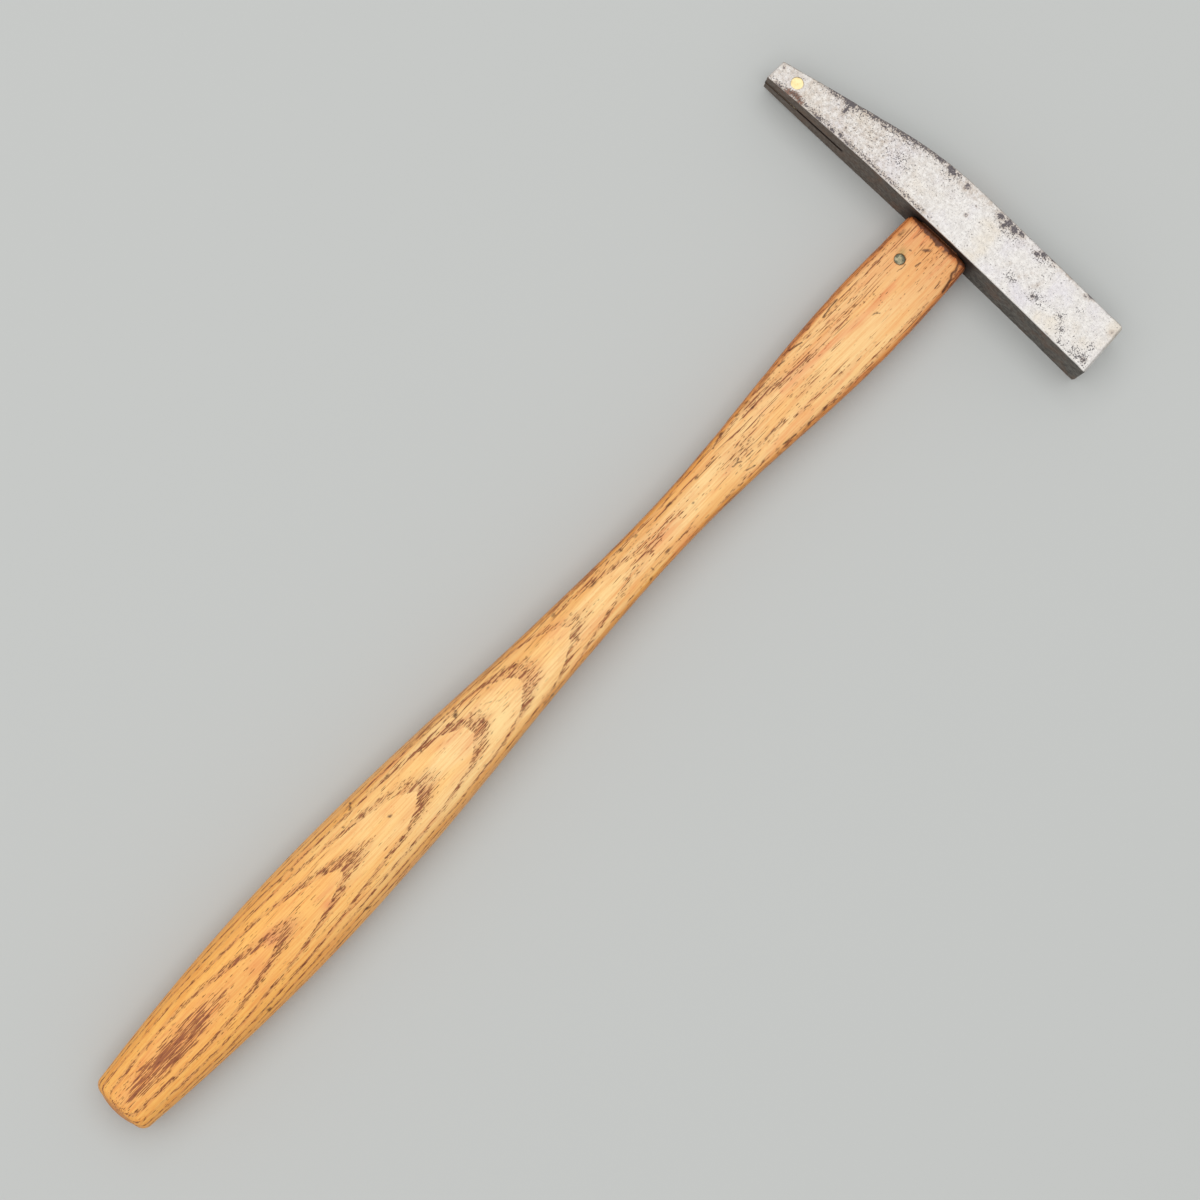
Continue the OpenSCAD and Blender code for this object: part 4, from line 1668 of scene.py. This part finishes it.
    def cracks(self) -> list[Mark | Streak]:
        """Cracks, nicks and dark specks of the upper side."""
        marks = (
            (298.7, 3.8, 0.35, 0.6, 20, 0.08, 0.9), (298.6, 2.1, 0.35, 0.3, 0, 0.05, 0.7),
            (301.7, 0.7, 1.7, 0.62, -46, 0.2, 1.0), (293.3, -0.4, 0.4, 0.28, 0, 0.08, 0.8),
            (287.5, -2.9, 0.5, 0.26, 0, 0.05, 0.75), (289.1, -2.9, 0.5, 0.26, 0, 0.05, 0.7),
            (280.5, 6.7, 0.4, 0.3, 0, 0.05, 0.7), (278.5, 3.5, 0.5, 0.26, 0, 0.04, 0.65),
            (276.2, 2.1, 0.5, 0.26, 0, 0.04, 0.65), (264.7, 2.7, 0.5, 0.3, 0, 0.06, 0.75),
            (261.4, 2.2, 0.5, 0.28, 0, 0.05, 0.7), (301.2, -6.5, 0.4, 0.3, 0, 0.05, 0.7),
            (283.4, 2.8, 0.9, 0.4, 0, 0.08, 0.7), (280.5, -1.1, 0.4, 0.4, 0, 0.2, 1.0),
            (300.7, 8.7, 1.9, 0.8, 0, 0.35, 0.8), (252.5, 8.2, 0.5, 0.5, 0, 0.15, 0.95),
            (255.6, 8.9, 0.5, 0.35, 0, 0.1, 0.8), (246.0, 7.4, 1.7, 0.5, 0, 0.1, 0.65),
            (239.6, 7.7, 1.2, 0.4, 0, 0.2, 0.8), (235.3, 7.3, 1.0, 0.4, 0, 0.15, 0.8),
            (228.9, 6.9, 1.2, 0.45, 0, 0.2, 0.9), (216.2, 3.5, 1.0, 0.5, 0, 0.1, 0.9),
            (304.2, 3.6, 1.0, 0.22, 0, 0.15, 0.9), (304.7, -0.4, 0.7, 0.9, 0, 0.15, 0.9),
            (304.6, -2.7, 0.7, 0.9, 0, 0.15, 0.85), (306.1, -4.6, 0.8, 0.9, 0, 0.15, 0.8),
            (305.4, 1.0, 0.7, 0.7, 0, 0.1, 0.7), (224.6, -5.6, 0.9, 0.28, 0, 0.05, 0.75),
            (239.6, 5.5, 0.9, 0.45, 0, 0.08, 0.8), (252.6, -8.4, 1.6, 0.6, 0, 0.25, 0.85),
            (247.0, -8.0, 1.4, 0.6, 0, 0.2, 0.85), (231.2, -6.1, 1.2, 0.45, 0, 0.1, 0.8),
            (206.0, 4.0, 1.5, 0.42, 0, 0.1, 0.95), (210.7, -0.3, 0.7, 0.5, 0, 0.06, 0.8),
            (200.5, -0.4, 0.6, 0.45, 0, 0.05, 0.6), (192.8, -1.8, 0.4, 0.9, 20, 0.05, 0.65),
            (197.1, -4.0, 1.5, 0.45, 0, 0.1, 0.95), (191.0, -4.4, 0.4, 0.9, 15, 0.08, 0.8),
            (189.1, -5.9, 0.9, 0.45, 0, 0.15, 0.9), (188.1, -4.3, 1.9, 0.5, 0, 0.05, 0.6),
            (177.6, 3.9, 2.8, 0.6, 0, 0.08, 0.7), (189.0, 5.0, 0.9, 0.7, 0, 0.15, 0.95),
            (194.2, 4.7, 1.0, 0.5, 0, 0.12, 0.85), (164.9, 6.0, 0.9, 0.7, 0, 0.12, 0.85),
            (175.2, -3.8, 2.2, 0.5, 0, 0.06, 0.7), (203.4, -5.4, 1.6, 0.8, 0, 0, 0.35),
            (150.0, -8.0, 0.8, 0.5, 0, 0.15, 0.85), (147.2, -7.8, 0.7, 0.6, 0, 0.12, 0.75),
            (129.3, 6.7, 0.9, 0.7, 0, 0.15, 1.0), (139.9, 5.3, 0.9, 0.4, 10, 0.06, 0.8),
            (116.6, 6.6, 0.6, 0.5, 0, 0.06, 0.85), (106.3, 8.4, 1.0, 0.6, 0, 0.08, 0.85),
            (110.6, 1.6, 1.1, 0.9, 0, 0.04, 0.6), (114.7, -0.5, 0.6, 0.4, 0, 0.04, 0.6),
            (125.1, -7.8, 1.1, 0.5, 0, 0.06, 0.75), (99.5, 1.0, 0.95, 0.6, -15, 0.1, 0.9),
            (94.0, 9.6, 0.8, 0.5, 0, 0.1, 0.9), (89.6, 7.6, 0.7, 0.5, 0, 0.1, 0.9),
            (97.1, -5.2, 0.7, 0.55, 0, 0.06, 0.85), (80.2, -6.5, 0.5, 0.45, 0, 0.06, 0.8),
            (79.0, -10.9, 1.4, 0.45, -20, 0.2, 0.95), (73.4, 3.1, 0.4, 0.9, 30, 0.03, 0.55),
            (72.5, -0.1, 0.4, 0.45, 0, 0.03, 0.5), (72.9, -1.3, 0.5, 0.4, 0, 0.03, 0.6),
            (68.2, 3.0, 0.4, 0.6, 0, 0.03, 0.5), (67.8, 1.9, 0.5, 0.35, 0, 0.03, 0.5),
            (73.1, 9.7, 0.9, 0.5, 0, 0.08, 0.85), (69.1, 10.0, 1.1, 0.55, 0, 0.1, 0.85),
            (79.9, 9.0, 0.6, 0.4, 0, 0.05, 0.75), (74.5, -9.2, 0.7, 0.5, 0, 0.06, 0.75),
            (44.2, -10.4, 0.9, 0.7, 0, 0.15, 0.95),
        )
        streaks = (
            (((296.4, 0.1), (298.2, -0.3)), 0.24, 0.1),
            (((292.6, 2.5), (293.9, 2.15), (295.1, 2.3)), 0.22, 0.05, 0.85),
            (((295.8, -7.7), (298.4, -7.4)), 0.26, 0.08, 0.85),
            (((278.9, -0.5), (279.9, -0.8), (280.9, -1.7)), 0.26, 0.15, 0.85),
            (((262.0, 8.1), (281.0, 8.2), (300.0, 8.0)), 0.22, 0.03, 0.5),
            (((269.8, 8.4), (273.0, 8.9), (275.9, 9.0)), 0.32, 0.3, 1.0),
            (((257.3, 8.9), (259.6, 8.4), (261.1, 7.9)), 0.3, 0.25, 1.0),
            (((252.5, 8.2), (254.5, 7.8)), 0.25, 0.1, 0.85),
            (((224.6, 5.7), (227.2, 6.3)), 0.28, 0.1, 0.85),
            (((217.5, 5.8), (221.8, 6.3)), 0.22, 0.05, 0.7),
            (((220.0, 3.3), (222.6, 3.5)), 0.25, 0.06, 0.8),
            (((301.6, 5.3), (303.4, 5.4), (305.4, 5.6)), 0.26, 0.16, 0.8),
            (((305.9, -7.6), (304.4, -8.1), (303.2, -8.5), (302.0, -8.3), (300.9, -9.1), (299.2, -9.5),
              (297.0, -9.9)), 0.5, 0.25, 1.0),
            (((235.7, -2.4), (239.0, -2.5), (242.1, -2.5)), 0.26, 0.08, 0.85),
            (((238.6, 2.0), (239.2, 2.9), (239.6, 2.2), (240.2, 2.9)), 0.18, 0.04, 0.75),
            (((228.9, -2.1), (231.3, -2.1)), 0.26, 0.06, 0.8),
            (((224.6, -1.4), (226.0, -1.4), (227.2, -0.9)), 0.28, 0.08, 0.95),
            (((226.0, -1.4), (227.2, -2.0)), 0.25, 0.08, 0.9),
            (((226.3, -4.5), (228.9, -5.2)), 0.28, 0.1, 0.9),
            (((236.0, -4.4), (238.4, -4.8)), 0.22, 0.05, 0.6),
            (((242.4, -7.5), (238.2, -6.9)), 0.3, 0.12, 0.85),
            (((226.0, -5.9), (236.0, -6.6), (252.0, -8.1), (268.0, -8.9), (292.0, -9.0)), 0.2, 0.03, 0.45),
            (((198.0, 4.0), (201.0, 3.7), (210.8, 3.8)), 0.2, 0.03, 0.7),
            (((200.8, -4.1), (205.0, -3.9), (209.6, -3.4)), 0.2, 0.05, 0.8),
            (((183.5, -2.2), (194.0, -1.3)), 0.18, 0.03, 0.6),
            (((183.0, -3.0), (190.0, -2.3)), 0.18, 0.03, 0.6),
            (((130.0, 7.3), (128.9, 6.5), (128.9, 6.1)), 0.42, 0.2, 1.0),
            (((135.9, 3.0), (137.0, 2.8), (137.9, 2.2)), 0.2, 0.03, 0.6),
            (((95.3, 10.8), (94.3, 9.9), (93.9, 9.6)), 0.34, 0.15, 0.95),
            (((89.9, 10.0), (88.9, 10.2), (88.1, 9.6), (88.9, 9.1), (89.9, 9.5)), 0.2, 0.05, 0.7),
        )
        return [Mark(*row) for row in marks] + [Streak(*row) for row in streaks]

    def pore_rows(self) -> list[Mark | Streak]:
        """Places of the neck's upper side that are thick with pores."""
        marks = (
            (276.0, 5.0, 14.0, 2.6, 0, 0, 0.32), (239.4, 5.5, 1.8, 0.8, 0, 0, 1.0),
            (252.3, -1.1, 5.5, 1.8, 0, 0, 0.55), (229.0, 0.0, 7.0, 2.8, 0, 0, 0.66),
            (266.0, -5.6, 9.0, 0.8, 0, 0, 0.4), (283.0, 1.4, 3.0, 1.4, 0, 0, 0.35),
            (197.0, 2.4, 5.0, 1.2, 0, 0, 0.42), (188.0, -1.9, 5.0, 1.0, 0, 0, 0.36),
            (300.0, -2.0, 5.0, 6.0, 0, 0, 0.2), (302.5, -9.2, 2.8, 0.8, 0, 0, 0.9),
            (21.0, 0.4, 20.0, 3.1, 0, 0, 0.54), (18.0, -0.6, 10.0, 2.2, 0, 0, 0.6),
        )
        streaks = (
            (((238.6, 5.3), (247.2, 5.0), (250.2, 3.8), (256.0, 3.1), (258.6, 3.1)), 0.3, 0, 0.8, 2.6),
            (((245.4, -4.2), (250.9, -4.4), (257.4, -4.4), (262.4, -4.9)), 0.5, 0, 0.9),
            (((233.0, -2.5), (243.0, -2.5)), 0.6, 0, 0.8), (((262.0, 8.0), (300.0, 8.0)), 0.4, 0, 0.5),
            (((226.0, -5.9), (252.0, -8.1), (292.0, -9.0)), 0.45, 0, 0.6),
            (((306.4, -9.2), (303.5, -9.8), (299.0, -10.4)), 1.1, 0, 1.0),
        )
        return [Mark(*row) for row in marks] + [Streak(*row) for row in streaks]

    def blushes(self) -> list[Mark | Streak]:
        """Places of the upper side that are reddish."""
        marks = (
            (284.0, 0.8, 7.5, 1.1, 0, 0, 0.85), (300.2, -4.1, 0.8, 0.35, 0, 0, 0.8),
            (57.6, 1.4, 2.6, 2.0, 0, 0, 0.9), (73.0, -2.8, 1.8, 1.0, 0, 0, 0.9),
            (50.0, -0.5, 3.5, 2.4, 0, 0, 0.5), (21.0, 0.4, 20.0, 3.0, 0, 0, 0.6),
            (199.0, -0.6, 7.0, 2.0, 0, 0, 0.6), (202.5, -5.4, 5.0, 1.0, 0, 0, 0.6),
            (128.0, -1.0, 5.0, 1.5, 0, 0, 0.4), (62.0, 0.6, 4.0, 2.6, 0, 0, 0.4),
            (150.0, -1.0, 4.0, 3.0, 0, 0, 0.35), (170.0, -3.0, 5.0, 1.6, 0, 0, 0.4),
            (238.0, -5.2, 8.0, 1.0, 0, 0, 0.45), (262.0, 4.2, 22.0, 1.3, 0, 0, 0.5),
            (258.0, -6.4, 16.0, 1.2, 0, 0, 0.4), (251.0, 1.4, 14.0, 0.9, -3, 0, 0.45),
        )
        streaks = (
            (((248.0, 2.9), (264.6, 2.1), (272.0, 1.2), (282.5, 0.65), (288.7, 0.7)), 1.1, 0, 0.75),
        )
        return [Mark(*row) for row in marks] + [Streak(*row) for row in streaks]

    def ring_number(self, points: Array) -> Array:
        """Growth ring at each point, counted downwards from the top of the butt.

        Args:
            points: Points in the hammer's own frame.

        Returns:
            Ring numbers with their fractions.
        """
        x, y, z = points.T
        count = np.interp(x, *zip(*self.ring_counts))
        depth = self.curve(self.thicknesses, x) / 2 - z
        hollow = (1 - bell(y - self.lens.y, self.lens.reach_y)) * bell(x - self.lens.x, self.lens.reach_x)
        peak = 0.13 * np.abs(y - 0.6) * between(self.peak_span, x)
        wave = 0.07 * lattice(points, (24, 5, 9), 61) + 0.04 * lattice(points, (9, 2.2, 3), 62)
        layer = depth / self.ring_width - self.ring_tilt * y
        return 4 + count + layer + self.lens.stain * hollow + peak + wave

    def dress(self, made: Solid) -> None:
        """Wears the wood and stores the fields of the finish.

        Args:
            made: Object that build() returned.
        """
        points, normals = read_vertices(made.data)
        across = points[:, 1] / (self.curve(self.widths, points[:, 0]) / 2)
        at = HandleSurvey(points, normals, across, smooth(self.belly, self.waist, points[:, 0]))
        sink, stain = self.wear(at)
        move_vertices(made.data, points - normals * sink[:, None])
        write_fields(made.data, self.grain_fields(at) | self.tone_fields(at) | self.dirt_and_shade_fields(at, stain))

    def wear(self, at: HandleSurvey) -> tuple[Array, Array]:
        """Uneven surface, cracks, the crushed shoulder and nicks in the corners.

        Args:
            at: The handle's points.

        Returns:
            How far each point sinks, and how dark its stain is.
        """
        points, on_body = at.points, at.on_body
        x, y, _ = points.T
        sink = 0.05 * (1 + lattice(points, (26, 7, 7), 7)) * smooth(0, 6, x)
        sink += 0.02 * (1 + lattice(points, (6, 1.4, 1.4), 8))
        depth, stain = printed(self.cracks(), x, y, at.top_side)
        crush = smooth(2.4, 0.0, at.from_shoulder) * patches(points, (3, 1.1, 2), 15, -0.1, 0.7)
        crush *= np.where(np.abs(y + 1.7) < 3.6, 1.0, 0.6)
        nick = patches(points, (5, 4, 4), 19, 0.3, 0.8) * bell(np.abs(at.across) - 0.97, 0.09) * at.flatness
        sink += depth + 0.3 * crush * on_body + 0.12 * nick * on_body
        return sink * on_body, highest(stain, 0.5 * nick, 0.8 * crush)

    def grain_fields(self, at: HandleSurvey) -> dict[str, Array]:
        """Fibres, growth rings, pores and thin lines.

        Args:
            at: The handle's points.

        Returns:
            The fields by name.
        """
        points = at.points
        x, y, _ = points.T
        fibre = points.copy()
        fibre[:, 1] -= np.interp(x, *zip(*self.fibre_drift)) + 0.12 * lattice(points, (9, 30, 30), 73)
        ring = self.ring_number(points)
        flat_neck = smooth(0.86, 0.97, at.normals[:, 2]) * smooth(212, 226, x)
        rows = patches(points, (24, 0.75, 0.75), 91, 0.0, 0.45) * at.on_body
        left_side = smooth(0.44, 0.6, at.ripple) * between(self.left_grain_span, x)
        edges = smooth(0.93, 0.75, at.slope) * smooth(196, 220, x)
        crowd = highest(strongest(self.pore_rows(), x, y) * at.top_side,
                        0.7 * left_side * rows, 0.6 * edges * rows)

        left_half = smooth(0.5, 4.0, y)
        lines = highest(0.44 * left_side, 0.4 * edges, (0.12 + 0.2 * left_half) * flat_neck)
        clean = flat_neck * smooth(0.8, -2.4, y) * between(self.clean_span, x)
        in_lens = Mark(21.0, 0.4, 21.0, 3.3, 2).weight(x, y) * at.top_side
        lines = np.maximum(lines * (1 - clean) - 0.5 * clean, 0.82 * smooth(0.2, 0.6, in_lens))
        grain = (1 - flat_neck) * (1 - 0.85 * smooth(0.25, 0.6, in_lens)) * (1 - 0.3 * smooth(152, 172, x))
        return {"fibre": fibre, "ring": ring, "band": np.where(ring < 5, 0.6, 0.5), "grain": grain,
                "crowd": crowd, "lines": lines}

    def tone_fields(self, at: HandleSurvey) -> dict[str, Array]:
        """Pale, orange, tan, reddish, raw and green parts of the wood, with the orange bevels partly painted
        shade.

        Args:
            at: The handle's points.

        Returns:
            The fields by name.
        """
        x, y, _ = at.points.T
        waist = between(self.waist_span, x)
        # Darker orange where the surface turns away from the overhead light: partly the wood's own tone,
        # partly painted shade.
        bevel = highest(smooth(0.93, 0.6, at.slope) * (0.45 + 0.5 * at.flatness),
                        0.5 * smooth(0.36, 0.5, at.ripple) * waist,
                        0.3 * smooth(-0.4, -0.55, at.ripple) * waist * smooth(140, 160, x))
        tan = 0.05 * between(self.tan_span, x) + 0.4 * smooth(276, 303, x)
        tan += (0.05 + 0.1 * smooth(2, 6, y)) * smooth(222, 240, x)
        neck_blush = 0.13 * smooth(196, 226, x) + 0.11 * smooth(264, 290, x)
        blush = np.maximum(strongest(self.blushes(), x, y) * at.top_side, neck_blush * at.on_body)
        chipped = Streak(((306.4, -9.4), (303.5, -10.2), (299.0, -10.8)), 1.1)
        raw = highest(chipped.weight(x, y) * at.top_side,
                      0.42 * smooth(0.95, 0.75, at.slope) * smooth(236, 262, x) * at.on_body,
                      0.7 * smooth(3.2, 1.2, at.from_shoulder) * at.on_body)
        green = strongest([Mark(296.7, 5.0, 1.5, 1.0, 20), Mark(305.8, 2.4, 0.8, 0.9)], x, y)
        return {"level": 0.14 + 0.86 * smooth(42, 128, x), "bevel": bevel, "tan": np.clip(tan, 0, 1),
                "blush": blush, "raw": raw, "green": green * at.top_side}

    def dirt_and_shade_fields(self, at: HandleSurvey, stain: Array) -> dict[str, Array]:
        """Soiling with painted shade on the sides and next to the head, stains with the dark rims of the pin
        and the butt, painted shade on the lower edge of the butt and in the gap at the shoulder, and open end
        grain.

        Args:
            at: The handle's points.
            stain: Stains that wear() left.

        Returns:
            The fields by name.
        """
        points, on_body, slope, from_shoulder = at.points, at.on_body, at.slope, at.from_shoulder
        x, y, z = points.T
        # Soiling and painted shade on the sides that turn from the light, painted shade next to the head, and
        # a dark line near the butt.
        grime_and_shade = highest(smooth(0.4, 0.0, slope) * (0.2 + 0.3 * at.flatness),
                        0.75 * smooth(3.4, 0.6, from_shoulder),
                        0.4 * bell(x - self.butt_seam, 0.6))
        side_edge = between((0.1, 0.25, 0.5, 0.75), slope) * smooth(244, 262, x) * at.top_side
        side_edge *= patches(points, (6, 0.8, 0.8), 57, -0.1, 0.4)
        # Dark rim round the end of the butt, and painted shade on its lower edge.
        butt_rim_and_shade = np.maximum(0.4 * bell(x - 0.9, 0.5) * smooth(0.2, 0.8, np.abs(at.across)),
                              smooth(-2.6, -4.4, z) * smooth(2.4, 0.8, x))
        from_pin = np.hypot(x - self.pin_x, y - self.pin_y) - self.pin_diameter / 2
        pin_rim = bell(from_pin, 0.32) * smooth(0.5, 0.8, slope) * on_body
        # Painted shade with dark specks in the gap between the shoulder and the head.
        ragged = from_shoulder + 0.7 * lattice(points, (4, 1.3, 2), 37)
        ragged += 0.6 * lattice(points, (1.8, 0.45, 0.6), 38) - 0.7 * bell(y - 0.5, 5.5)
        gap_shade_and_dirt = 1.25 * smooth(1.6, 0.9, ragged) * smooth(-0.7, -0.3, from_shoulder)
        stain = highest(stain, 0.7 * butt_rim_and_shade, 0.7 * pin_rim, 0.6 * side_edge)
        butt_end = smooth(1.6, 0.6, x) * smooth(0.8, 0.95, np.abs(at.normals[:, 0]))
        return {"grime_and_shade": grime_and_shade, "stain": np.maximum(stain * on_body, gap_shade_and_dirt),
                "open_end": np.maximum(butt_end, 1 - on_body)}


@dataclass
class PoleSpacer(Piece):
    """Brass plate in the outer end of the slot."""

    node: str = "pole_spacer"
    slot: str = "spacer_brass"
    clearance: float = 0.04
    recess: float = 0.08
    rounding: float = 0.45
    low_corner: float = 0.4
    high_corner: float = 0.5
    high_lean: float = 5.5
    curve_points: int = 24
    finish: BrassFinish = field(default_factory=lambda: BrassFinish(tarnish=0.42))

    def build(self) -> Solid:
        """Draws out the plate's outline and cuts its rivet hole.

        Returns:
            The object.
        """
        head = Head()
        inner, outer = LAYOUT.tip - head.spacer_length, LAYOUT.tip - self.rounding
        low_y = np.linspace(inner, outer, self.curve_points)
        high_y = np.linspace(outer - head.tip_depth * head.tip_slope, inner, self.curve_points)
        low = np.stack([head.underside(low_y) + self.recess, low_y], axis=1)
        high = np.stack([head.crest(high_y) - self.recess, high_y], axis=1)
        rises = np.array([self.low_corner, head.tip_depth - self.high_corner])
        leans = head.tip_slope * np.array([self.low_corner, self.high_lean])
        end = np.stack([LAYOUT.underside + rises, LAYOUT.tip - self.recess - leans], axis=1)
        half = head.slot_width / 2 - self.clearance
        made = drawn_out("pole_spacer_plate", np.vstack([low, end, high]), -half, half, Axis.Z)
        drill(made, head.rivet_spot, head.rivet_diameter, 2)
        return made


@dataclass
class Pin(Piece):
    """Pin that lies along z, with both ends alike and dented a little."""

    sides: int = 60
    clearance: float = 0.02
    dent_depth: float = 0.05
    dent_size: float = 0.9
    dent_seed: int = 6
    dent_level: float = 0.6

    def turn(self, name: str, spot: Array, hole: float, ends: Pairs,
             half: Callable[[Array], Array]) -> Solid:
        """Turns the pin.

        Args:
            name: Name of the object.
            spot: Place of its middle line.
            hole: Diameter of its hole.
            ends: Rings of an end from its middle outwards: share of the radius, and how far each is sunk.
            half: Height of the end above the middle plane at a place y.

        Returns:
            The object.
        """
        angles = 2 * np.pi * np.arange(self.sides) / self.sides
        circle = (hole / 2 - self.clearance) * np.stack([np.cos(angles), np.sin(angles)], axis=1)
        upper = []
        for share, drop in ends:
            flat = spot + circle * share
            upper.append(np.column_stack([flat, half(flat[:, 1]) - drop]))
        lower = [ring * (1, 1, -1) for ring in upper]
        return skin_rings(name, np.array(lower + upper[::-1]))

    def dress(self, made: Solid) -> None:
        """Dents the ends.

        Args:
            made: Object that build() returned.
        """
        points, normals = read_vertices(made.data)
        cell = (self.dent_size, self.dent_size, self.dent_size)
        sink = self.dent_depth * (1 + lattice(points, cell, self.dent_seed))
        sink *= np.abs(normals[:, 2]) > self.dent_level
        move_vertices(made.data, points - normals * sink[:, None])


@dataclass
class SpacerRivet(Pin):
    """Brass rivet through both poles, filed flush with the cheeks."""

    node: str = "spacer_rivet"
    slot: str = "rivet_brass"
    recess: float = 0.03
    rim: Pairs = ((0.96, 0.05), (0.99, 0.09), (1.0, 0.16))
    sides: int = 72
    dent_depth: float = 0.02
    dent_size: float = 1.1
    dent_seed: int = 5
    dent_level: float = 0.8
    finish: BrassFinish = field(default_factory=lambda: BrassFinish(tarnish=0.12))

    def build(self) -> Solid:
        """Turns the rivet, with its ends on the curve of the cheeks.

        Returns:
            The object.
        """
        head = Head()
        ends = [(share, self.recess) for share in np.linspace(0.06, 0.9, 12)] + list(self.rim)
        hole = head.rivet_diameter
        return self.turn("spacer_rivet_brass", head.rivet_spot, hole, ends, head.half_thickness)


@dataclass
class NeckPin(Pin):
    """Metal pin through the neck, with hammered ends."""

    node: str = "neck_pin"
    slot: str = "pin_metal"
    recess: float = 0.1
    dome: float = 0.22
    shares: tuple[float, ...] = (0.08, 0.2, 0.35, 0.5, 0.65, 0.78, 0.88, 0.95, 0.99, 1.0)
    finish: PinFinish = field(default_factory=PinFinish)

    def build(self) -> Solid:
        """Turns the pin with low domes on its ends.

        Returns:
            The object.
        """
        handle = Handle()
        half = float(handle.curve(handle.thicknesses, handle.pin_x)) / 2 - self.recess
        ends = [(share, self.dome * share ** 4) for share in self.shares]
        spot = np.array([handle.pin_x, handle.pin_y])
        return self.turn("neck_pin_metal", spot, handle.pin_diameter, ends, lambda y: np.full(len(y), half))


@dataclass
class EyeWedge:
    """Wooden wedge in the tenon: the CAD solid has its shape, so it only takes a finish."""

    node: str = "eye_wedge"
    finish: WedgeFinish = field(default_factory=WedgeFinish)

    def make(self) -> Solid:
        """Dresses the CAD solid.

        Returns:
            The object.
        """
        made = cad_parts[self.node]
        made.data.materials.clear()
        made.data.materials.append(self.finish.material())
        log.info("%s: CAD solid with its own finish", self.node)
        return made


@dataclass
class Studio:
    """Pale floor under the hammer, one wide soft lamp, a plain world and the camera."""

    floor_colour: Rgb = (196, 198, 196)
    floor_reach: float = 3.0
    floor_roughness: float = 0.8
    floor_specular: float = 0.2
    world_level: float = 0.6
    lamp_size: float = 3.0
    lamp_height: float = 2.0
    lamp_shift: tuple[float, float] = (0.0, 0.5)
    lamp_power: float = 30.0
    lens: float = 87.0
    sensor: float = 36.0
    clip: tuple[float, float] = (0.01, 20.0)
    head_from: float = 0.14
    camera_height: float = 745.0
    camera_spot: tuple[float, float] = (84.41, -3.16)
    look: Triple = (0.124045, 0.004246, -0.992268)
    right: Triple = (0.681775, -0.726938, 0.082119)

    def rest_slope(self, pieces: list[Solid]) -> tuple[float, float]:
        """Plane on which the belly of the grip and the head rest.

        Args:
            pieces: Pieces of the hammer.

        Returns:
            Slope of the plane along x, and its height at x = 0, in metres.
        """
        points = np.vstack([coordinates(piece.data) for piece in pieces])
        grip, head = points[points[:, 0] < 0], points[points[:, 0] > self.head_from]
        slope = 0.0
        for _ in range(8):
            a = grip[np.argmin(grip[:, 2] - slope * grip[:, 0])]
            b = head[np.argmin(head[:, 2] - slope * head[:, 0])]
            slope = (b[2] - a[2]) / (b[0] - a[0])
        return float(slope), float(np.min(points[:, 2] - slope * points[:, 0]))

    def build(self, pieces: list[Solid]) -> None:
        """Makes the floor, the lamp, the world and the camera.

        Args:
            pieces: Pieces of the hammer.
        """
        slope, height = self.rest_slope(pieces)
        log.info("floor slope %.5f, height %.5f", slope, height)
        self.make_floor(slope, height)
        self.make_light()
        self.make_camera(slope, height)

    def make_floor(self, slope: float, height: float) -> None:
        """Lays the floor.

        Args:
            slope: Slope of the floor along x.
            height: Height of the floor at x = 0.
        """
        reach = self.floor_reach
        corners = [(x, y, height + slope * x) for x, y in
                   ((-reach, -reach), (reach, -reach), (reach, reach), (-reach, reach))]
        mesh = bpy.data.meshes.new("floor")
        mesh.from_pydata(corners, [], [(0, 1, 2, 3)])
        floor = bpy.data.objects.new("floor", mesh)
        bpy.context.scene.collection.objects.link(floor)
        bench = NodeBench("floor_paint")
        mesh.materials.append(bench.finish(self.floor_colour, self.floor_roughness, None, 0.0,
                                           self.floor_specular))

    def make_light(self) -> None:
        """Makes a plain world and one wide soft lamp."""
        world = bpy.data.worlds.new("plain_world")
        world.use_nodes = True
        background = world.node_tree.nodes["Background"]
        background.inputs["Color"].default_value = (1, 1, 1, 1)
        background.inputs["Strength"].default_value = self.world_level
        bpy.context.scene.world = world
        lamp = bpy.data.lights.new("soft_lamp", "AREA")
        lamp.shape = "SQUARE"
        lamp.size = self.lamp_size
        lamp.energy = self.lamp_power
        holder = bpy.data.objects.new("soft_lamp", lamp)
        holder.location = (*self.lamp_shift, self.lamp_height)
        bpy.context.scene.collection.objects.link(holder)

    def make_camera(self, slope: float, height: float) -> None:
        """Sets the camera where the photograph was taken from.

        Args:
            slope: Slope of the floor along x.
            height: Height of the floor at x = 0.
        """
        c, s = math.cos(math.atan(slope)), math.sin(math.atan(slope))
        axes = np.array([[c, 0, s], [0, 1, 0], [-s, 0, c]])
        butt_x = LAYOUT.offset[0] * MM
        corner = np.array([butt_x, LAYOUT.offset[1] * MM, height + slope * butt_x])
        spot = corner + np.array([*self.camera_spot, self.camera_height]) * MM @ axes
        look, right = np.array(self.look) @ axes, np.array(self.right) @ axes
        up = np.cross(right, look)
        data = bpy.data.cameras.new("camera")
        data.lens = self.lens
        data.sensor_width = self.sensor
        data.clip_start, data.clip_end = self.clip
        camera = bpy.data.objects.new("camera", data)
        columns = np.stack([right, up, -look, spot], axis=1)
        camera.matrix_world = Matrix([*columns.tolist(), [0, 0, 0, 1]])
        bpy.context.scene.collection.objects.link(camera)
        bpy.context.scene.camera = camera


def main() -> None:
    """Builds the hammer piece by piece, then the studio round it."""
    logging.basicConfig(level=logging.INFO, format="%(name)s %(message)s")
    kinds = (Head, PoleSpacer, SpacerRivet, Handle, EyeWedge, NeckPin)
    pieces = [kind().make() for kind in kinds]
    Studio().build(pieces)
    bpy.context.scene.view_settings.view_transform = "Standard"
    bpy.context.view_layer.update()
    log.info("size file written")


if __name__ == "__main__":
    main()
